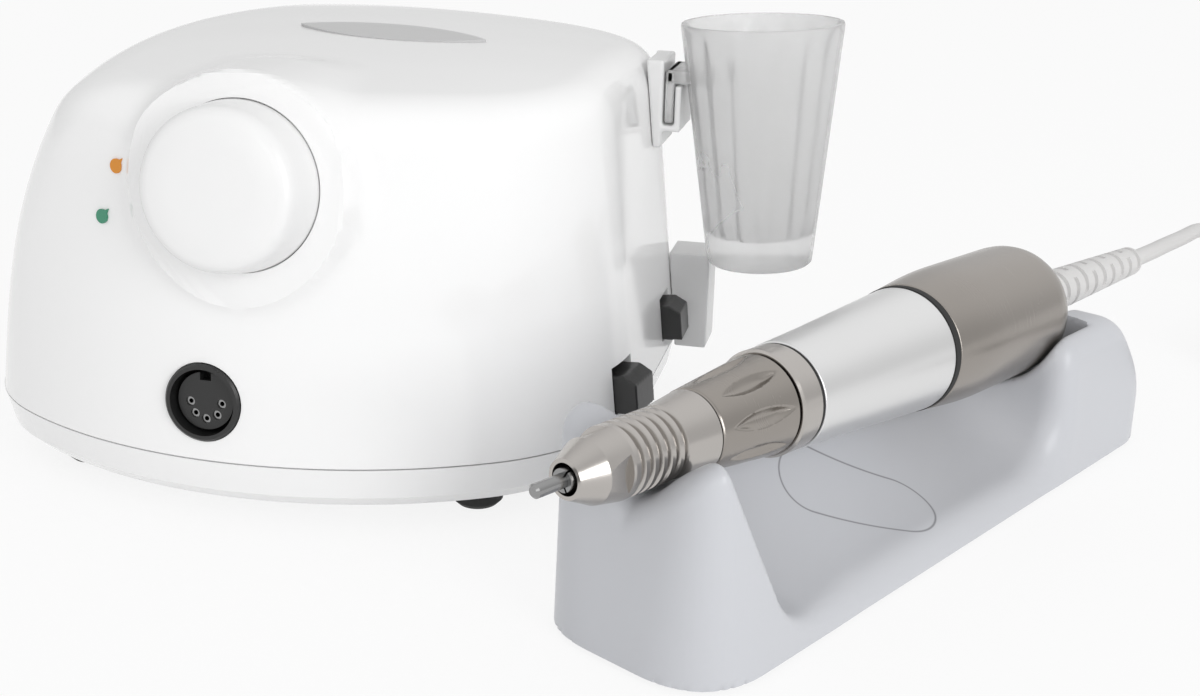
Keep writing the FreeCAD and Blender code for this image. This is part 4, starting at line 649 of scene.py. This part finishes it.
def track_group():
    """A mask of the line that runs round a slot shape in the finger scoop."""
    group, _, target = new_group("track", [], [("Mask", "NodeSocketFloat")])
    place = add_node(group, "ShaderNodeTexCoord").outputs["Object"]

    def work(operation, *values):
        sockets = dict(enumerate(values))
        return add_node(group, "ShaderNodeMath", sockets, operation=operation).outputs[0]

    def measured(axis, start):
        way = CRADLE.col[axis].to_3d()
        along = add_node(group, "ShaderNodeVectorMath", {0: place, 1: way / MM},
                         operation="DOT_PRODUCT")
        return work("SUBTRACT", along.outputs["Value"], CRADLE.translation.dot(way) / MM + start)

    beside = measured(1, SCOOP_AXIS[0])
    below = work("SUBTRACT", 0.0, measured(2, SCOOP_AXIS[1]))
    away = work("SQRT", work("ADD", work("MULTIPLY", beside, beside), work("MULTIPLY", below, below)))
    dx = measured(0, TRACK_CENTRE[0])
    rise = work("MULTIPLY", work("ARCTAN2", beside, below), SCOOP_RADIUS)
    dy = work("SUBTRACT", rise, TRACK_CENTRE[1])
    turn = (math.cos(TRACK_TURN), math.sin(TRACK_TURN))
    run = work("ADD", work("MULTIPLY", dx, turn[0]), work("MULTIPLY", dy, turn[1]))
    side = work("SUBTRACT", work("MULTIPLY", dy, turn[0]), work("MULTIPLY", dx, turn[1]))
    end = work("MAXIMUM", work("SUBTRACT", work("ABSOLUTE", run), TRACK_RUN), 0.0)
    out = work("SQRT", work("ADD", work("MULTIPLY", end, end), work("MULTIPLY", side, side)))
    off = work("ABSOLUTE", work("SUBTRACT", out, TRACK_RADIUS))
    line = add_node(group, "ShaderNodeMapRange",
                    {"Value": off, "From Min": TRACK_LINE[0], "From Max": TRACK_LINE[1],
                     "To Min": 1.0, "To Max": 0.0})
    near = work("LESS_THAN", work("ABSOLUTE", work("SUBTRACT", away, SCOOP_RADIUS)), TRACK_NEAR)
    group.links.new(work("MULTIPLY", line.outputs[0], near), target.inputs["Mask"])
    return group


def engrave(material):
    """The track's line drawn into a material, darker than its colour."""
    tree = material.node_tree
    shader = tree.nodes["Principled BSDF"]
    mask = tree.nodes.new("ShaderNodeGroup")
    mask.node_tree = track_group()
    plain = shader.inputs["Base Color"].links[0].from_socket
    mix = add_node(tree, "ShaderNodeMix", {0: mask.outputs["Mask"], 6: plain, 7: TRACK_COLOUR},
                   data_type="RGBA")
    tree.links.new(mix.outputs[2], shader.inputs["Base Color"])


def add_cradle():
    engrave(CRADLE_GREY)
    points, faces = surface_of(cradle_form, *CRADLE_SPACE, CRADLE_CELL)
    placed = [CRADLE @ (Vector(point) * MM) for point in points]
    item = new_piece("cradle_moulding", placed, faces.tolist(), CRADLE_GREY)
    smooth_with_edges(item.data, 50)
    settle(item, "cradle_shell", "control_box")


# Turned and moulded pieces that stand for their plain CAD solids, in millimetres


def soft_profile(corners, steps=5):
    """A half section whose corners (radius, height, rounding) are rounded off."""
    points = []
    for index, (radius, height, rounding) in enumerate(corners):
        here = Vector((radius, height))
        if not rounding:
            points.append(here)
            continue
        before = (Vector(corners[index - 1][:2]) - here).normalized() * rounding
        after = (Vector(corners[(index + 1) % len(corners)][:2]) - here).normalized() * rounding
        for step in range(steps + 1):
            share = step / steps
            points.append(here + before * (1 - share) ** 2 + after * share ** 2)
    return points


def round_faces(rows, count, closed=False):
    """Faces between rows of points round an axis, capped at both ends or closed into a ring."""
    faces = []
    for row in range(rows if closed else rows - 1):
        low, high = row * count, (row + 1) % rows * count
        for index in range(count):
            after = (index + 1) % count
            faces.append([low + index, low + after, high + after, high + index])
    if not closed:
        faces.append(list(range(count))[::-1])
        faces.append([(rows - 1) * count + index for index in range(count)])
    return faces


def spun(name, rows, place, material, reach=None, count=160, closed=False):
    """A piece of rows (radius, height) round its place's Z axis, capped at both ends or closed. A
    reach gives the radius at each turn of a row where it isn't the same all round."""
    points = []
    for row in rows:
        for index in range(count):
            turn = 2 * math.pi * index / count
            radius = reach(turn, *row) if reach else row[0]
            spot = Vector((radius * math.cos(turn), radius * math.sin(turn), row[1]))
            points.append(place @ (spot * MM))
    return new_piece(name, points, round_faces(len(rows), count, closed), material)


def in_box(place):
    """A place given in the control box's millimetres, set down in the machine in metres."""
    scaled = place.copy()
    scaled.translation = BOX + place.translation * MM
    return scaled


def softened(name, node, body, material, voxel, rounds):
    """A moulding with the CAD solid's form and soft edges: remeshed finely, then smoothed."""
    item = bpy.data.objects.new(name, NODES[node].data.copy())
    bpy.context.collection.objects.link(item)
    mould = item.modifiers.new("remesh", "REMESH")
    mould.mode = "VOXEL"
    mould.voxel_size = voxel * MM
    ease = item.modifiers.new("smooth", "SMOOTH")
    ease.factor = 0.5
    ease.iterations = rounds
    bpy.context.view_layer.update()
    mesh = bpy.data.meshes.new_from_object(item.evaluated_get(bpy.context.evaluated_depsgraph_get()))
    item.modifiers.clear()
    item.data = mesh
    mesh.materials.clear()
    mesh.materials.append(material)
    for face in mesh.polygons:
        face.use_smooth = True
    settle(item, node, body)


def settle(item, node, body):
    """Let a piece stand for a CAD node and ride on its body."""
    if node:
        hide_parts(node)
    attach(item, body)


KNOB = [(3.05, 9.2, 0), (3.05, 3.2, 0), (6.4, 3.2, 0), (6.4, -0.5, 0), (15.4, -0.5, 0.3),
        (15.35, 1.6, 0.6), (14.4, 9.9, 2.4), (9, 10.75, 1.5), (0.02, 11.1, 0)]


def add_knob():
    item = spun("speed_knob_cap", soft_profile(KNOB), in_box(DISH), KNOB_WHITE)
    smooth_with_edges(item.data, 40)
    settle(item, "knob_cap", "speed_knob")


# Handpiece: stations behind the nose's tip, in millimetres

MOTOR = [(11.1, 96.6, 0), (11.1, 94.6, 0), (12.4, 94.6, 0.3), (13.6, 106, 5), (13.6, 141.5, 8.5),
         (5.4, 141.5, 0.4), (5.4, 138.5, 0), (11.5, 134.5, 2), (12.1, 105.5, 3)]
SLEEVE = [(4, 29.5, 0), (5.15, 29.5, 0), (5.15, 53.9, 0), (9.7, 53.9, 0.3), (10.2, 64, 6),
          (12.15, 92.9, 0.3), (10.7, 92.9, 0), (10.7, 83, 0), (4, 67, 0)]
SEALS = [("seal_line_front", "seal_front", 9.45, 53.2, 53.85),
         ("seal_line_rear", "seal_rear", 12.3, 92.95, 94.55)]
RING_START, RING_END, RING_BORE = 29.25, 47.55, 5.3
LEAVES, LEAF_MIDDLE, LEAF_REACH, LEAF_HALF, LEAF_DEPTH = 8, 39, 7.2, 1.6, 0.95
BOOT_START, BOOT_END, BOOT_STEP = 138, 197.2, 0.25
BOOT_BASE, BOOT_TIP = 5.15, 3.4
SLOT_START, SLOT_PITCH, SLOT_WIDTH, SLOT_DEPTH, SLOT_RIB = 144.6, 4.9, 1.5, 1.1, 0.28


def ring_reach(turn, radius, along, scooped):
    """The twist ring's radius, less its leaf-shaped scoops."""
    half = LEAF_HALF * (1 - ((along - LEAF_MIDDLE) / LEAF_REACH) ** 2)
    if not scooped or half <= 0:
        return radius
    across = ((turn * LEAVES / (2 * math.pi) + 0.5) % 1 - 0.5) * 2 * math.pi / LEAVES * radius
    return radius - LEAF_DEPTH * max(1 - (across / half) ** 2, 0) * min(half / 1.2, 1)


def add_ring():
    rows = [(RING_BORE, RING_START, False), (6.9, RING_START, False)]
    rows += [(7.1 + 1.8 * share, RING_START + (RING_END - RING_START) * share, True)
             for share in np.linspace(0.012, 0.988, 48)]
    rows += [(8.7, RING_END, False), (RING_BORE, RING_END, False)]
    item = spun("ring_scooped", rows, HAND, CHAMPAGNE, ring_reach, 240, closed=True)
    smooth_with_edges(item.data, 40)
    settle(item, "twist_ring", "lock_ring")


def boot_reach(turn, radius, along):
    """The boot's radius, less its slots: each is open on two sides, and the sides change by turns."""
    order = (along - SLOT_START) // SLOT_PITCH
    here = (along - SLOT_START) % SLOT_PITCH
    if along < SLOT_START or along > BOOT_END - 2 or here > SLOT_WIDTH:
        return radius
    phase = math.cos(turn) if order % 2 else math.sin(turn)
    return radius - SLOT_DEPTH if abs(phase) > SLOT_RIB else radius


def add_boot():
    last = int((BOOT_END - BOOT_START) / BOOT_STEP)
    rows = []
    for row in range(last + 1):
        radius = BOOT_BASE + (BOOT_TIP - BOOT_BASE) * (row / last)
        if row > last - 4:
            radius -= 0.25 * (row - last + 4) ** 1.5 / 4
        rows.append((radius, BOOT_START + row * BOOT_STEP))
    item = spun("boot_ribbed", rows, HAND, CORD_GREY, boot_reach, 72)
    smooth_with_edges(item.data, 35)
    settle(item, "cord_boot", "handpiece")


def add_handpiece():
    item = spun("motor_shell", soft_profile(MOTOR, 8), HAND, CHAMPAGNE, closed=True)
    smooth_with_edges(item.data)
    settle(item, "motor_housing", "handpiece")
    item = spun("sleeve_skin", soft_profile(SLEEVE, 8), HAND, SILVER, closed=True)
    smooth_with_edges(item.data)
    settle(item, "front_sleeve", "handpiece")
    add_ring()
    for name, node, radius, low, high in SEALS:
        band = soft_profile([(radius - 1.2, low, 0), (radius, low, 0.15), (radius, high, 0.15),
                             (radius - 1.2, high, 0)])
        item = spun(name, band, HAND, RUBBER, closed=True)
        smooth_with_edges(item.data)
        settle(item, node, "handpiece")
    add_boot()


def soft_block(name, centre, size, rounding, material):
    """A block with rounded edges, in the control box's millimetres."""
    half = Vector(size) / 2
    corners = [Vector(centre) + Vector((x * half.x, y * half.y, z * half.z))
               for z in (-1, 1) for x, y in ((-1, -1), (1, -1), (1, 1), (-1, 1))]
    faces = [(3, 2, 1, 0), (4, 5, 6, 7), (0, 1, 5, 4), (1, 2, 6, 5), (2, 3, 7, 6), (3, 0, 4, 7)]
    item = new_piece(name, to_machine(corners), faces, material)
    round_off = item.modifiers.new("edges", "BEVEL")
    round_off.width = rounding * MM
    round_off.segments = 4
    bpy.context.view_layer.update()
    mesh = bpy.data.meshes.new_from_object(item.evaluated_get(bpy.context.evaluated_depsgraph_get()))
    item.modifiers.clear()
    item.data = mesh
    smooth_with_edges(mesh, 50)
    return item


CUP_RIM, CUP_FOOT, CUP_INNER, CUP_DEPTH = 17.7, 11.8, 16.3, 53.3
CUP_LEAN = math.radians(-2.6)
FLUTES, FLUTE_DEPTH = 16, 0.55


def cup_reach(turn, radius, height, share):
    """The cup's radius, less a share of its flutes."""
    return radius - share * FLUTE_DEPTH * math.cos(FLUTES * turn)


def add_cup():
    """A frosted cup with a fluted inside and a thick foot, and the hook that it hangs by."""
    tilt = Matrix.Rotation(CUP_LEAN, 4, "Y")
    place = in_box(Matrix.Translation((HALF_WIDTH + 16.9, 23.2, 88.4)) @ tilt)
    taper = (CUP_RIM - CUP_FOOT) / CUP_DEPTH
    rows = [(11.3, -CUP_DEPTH, 0), (CUP_FOOT, -52.8, 0)]
    rows += [(CUP_RIM + taper * height, height, 0)
             for height in (-50, -45, -40, -30, -20, -10, -3, -0.6)]
    rows += [(17.5, -0.1, 0), (17.1, 0, 0), (16.6, -0.1, 0), (16.4, -0.6, 0)]
    rows += [(CUP_INNER + taper * height, height, 0 if height == -2 else 1)
             for height in (-2, -4, -10, -20, -30, -40, -44.5)]
    rows += [(9.8, -46.5, 0.5), (5, -46.8, 0), (0.02, -46.8, 0)]
    item = spun("cup_frosted", rows, place, CUP_CLEAR, cup_reach, 240)
    smooth_with_edges(item.data, 40)
    settle(item, "bur_cup", "cup")
    for name, centre, size in (("cup_tongue", (67.35, 23, 72.2), (2, 14, 11.5)),
                               ("cup_bridge", (71.8, 23, 76.45), (10.9, 14, 3))):
        settle(soft_block(name, centre, size, 0.6, CUP_CLEAR), None, "cup")


# Floor, backdrop and light: how bright the floor is seen and how brightly the sky lights the object;
# then where the sky is seen whitest: a way, the cosines where that starts and is full, the strength

FLOOR_SEEN, SKY_LIGHT, SKY_SEEN = 0.86, 0.7, 0.72
WINDOWS = [((-0.45, -0.35, 0.8), 0.5, 0.92, 1.0), ((0.42, 0.64, 0.64), 0.68, 0.99, 1.0)]


def by_ray(tree, lighting, seen):
    """One value for what lights the object, one for what is seen, straight or in metal and glass."""
    path = add_node(tree, "ShaderNodeLightPath")
    direct = path.outputs["Is Camera Ray"]
    for name in ("Is Glossy Ray", "Is Transmission Ray"):
        either = {0: direct, 1: path.outputs[name]}
        direct = add_node(tree, "ShaderNodeMath", either, operation="MAXIMUM").outputs[0]
    return add_node(tree, "ShaderNodeMix", {0: direct, 2: lighting, 3: seen}).outputs[0]


def add_stage():
    mesh = bpy.data.meshes.new("floor")
    reach = 6.0
    corners = [(-reach, -reach, 0), (reach, -reach, 0), (reach, reach, 0), (-reach, reach, 0)]
    mesh.from_pydata(corners, [], [(0, 1, 2, 3)])
    floor = bpy.data.objects.new("floor", mesh)
    bpy.context.collection.objects.link(floor)
    material = bpy.data.materials.new("floor_paper")
    material.use_nodes = True
    tree = material.node_tree
    shader = tree.nodes["Principled BSDF"]
    shader.inputs["Base Color"].default_value = (0.9, 0.9, 0.9, 1)
    shader.inputs["Roughness"].default_value = 0.9
    glow = add_node(tree, "ShaderNodeEmission", {"Color": (1, 1, 1, 1), "Strength": 1.0})
    share = by_ray(tree, 0.0, FLOOR_SEEN)
    mix = add_node(tree, "ShaderNodeMixShader", {0: share, 1: shader.outputs[0], 2: glow.outputs[0]})
    tree.links.new(mix.outputs[0], tree.nodes["Material Output"].inputs["Surface"])
    mesh.materials.append(material)


def add_lamp(name, place, aim, size, power):
    lamp = bpy.data.lights.new(name, "AREA")
    lamp.shape = "RECTANGLE"
    lamp.size, lamp.size_y = size
    lamp.energy = power
    item = bpy.data.objects.new(name, lamp)
    bpy.context.collection.objects.link(item)
    item.location = place
    item.rotation_euler = (Vector(aim) - Vector(place)).to_track_quat("-Z", "Y").to_euler()


def add_light():
    world = bpy.data.worlds.new("studio")
    bpy.context.scene.world = world
    world.use_nodes = True
    tree = world.node_tree
    back = tree.nodes["Background"]
    back.inputs["Color"].default_value = (1, 1, 1, 1)
    ray = add_node(tree, "ShaderNodeTexCoord").outputs["Generated"]
    sky = 0.0
    for way, start, stop, bright in WINDOWS:
        both = {0: ray, 1: Vector(way).normalized()}
        toward = add_node(tree, "ShaderNodeVectorMath", both, operation="DOT_PRODUCT").outputs["Value"]
        limits = {"Value": toward, "From Min": start, "From Max": stop, "To Min": SKY_SEEN,
                  "To Max": bright}
        window = add_node(tree, "ShaderNodeMapRange", limits, interpolation_type="SMOOTHSTEP")
        brighter = {0: sky, 1: window.outputs[0]}
        sky = add_node(tree, "ShaderNodeMath", brighter, operation="MAXIMUM").outputs[0]
    tree.links.new(by_ray(tree, SKY_LIGHT, sky), back.inputs["Strength"])
    add_lamp("front", (0.05, -1.1, 0.45), (0, 0, 0.05), (0.6, 0.5), 1.1)
    add_lamp("front_right", (0.8, -0.7, 0.4), (0.03, 0, 0.04), (0.5, 0.6), 4.4)


bpy.context.scene.view_settings.view_transform = "Standard"
add_camera()
add_cord()
dress_nodes()
add_housing()
add_knob()
add_cup()
add_handpiece()
add_cradle()
softened("bracket_moulding", "cup_bracket", "control_box", FROSTED, 0.35, 4)
softened("prop_moulding", "cup_prop", "control_box", FROSTED, 0.4, 4)
softened("direction_paddle", "direction_lever", "direction_lever_body", BLACK, 0.25, 3)
softened("power_paddle", "power_lever", "power_lever_body", BLACK, 0.25, 3)
add_stage()
add_light()
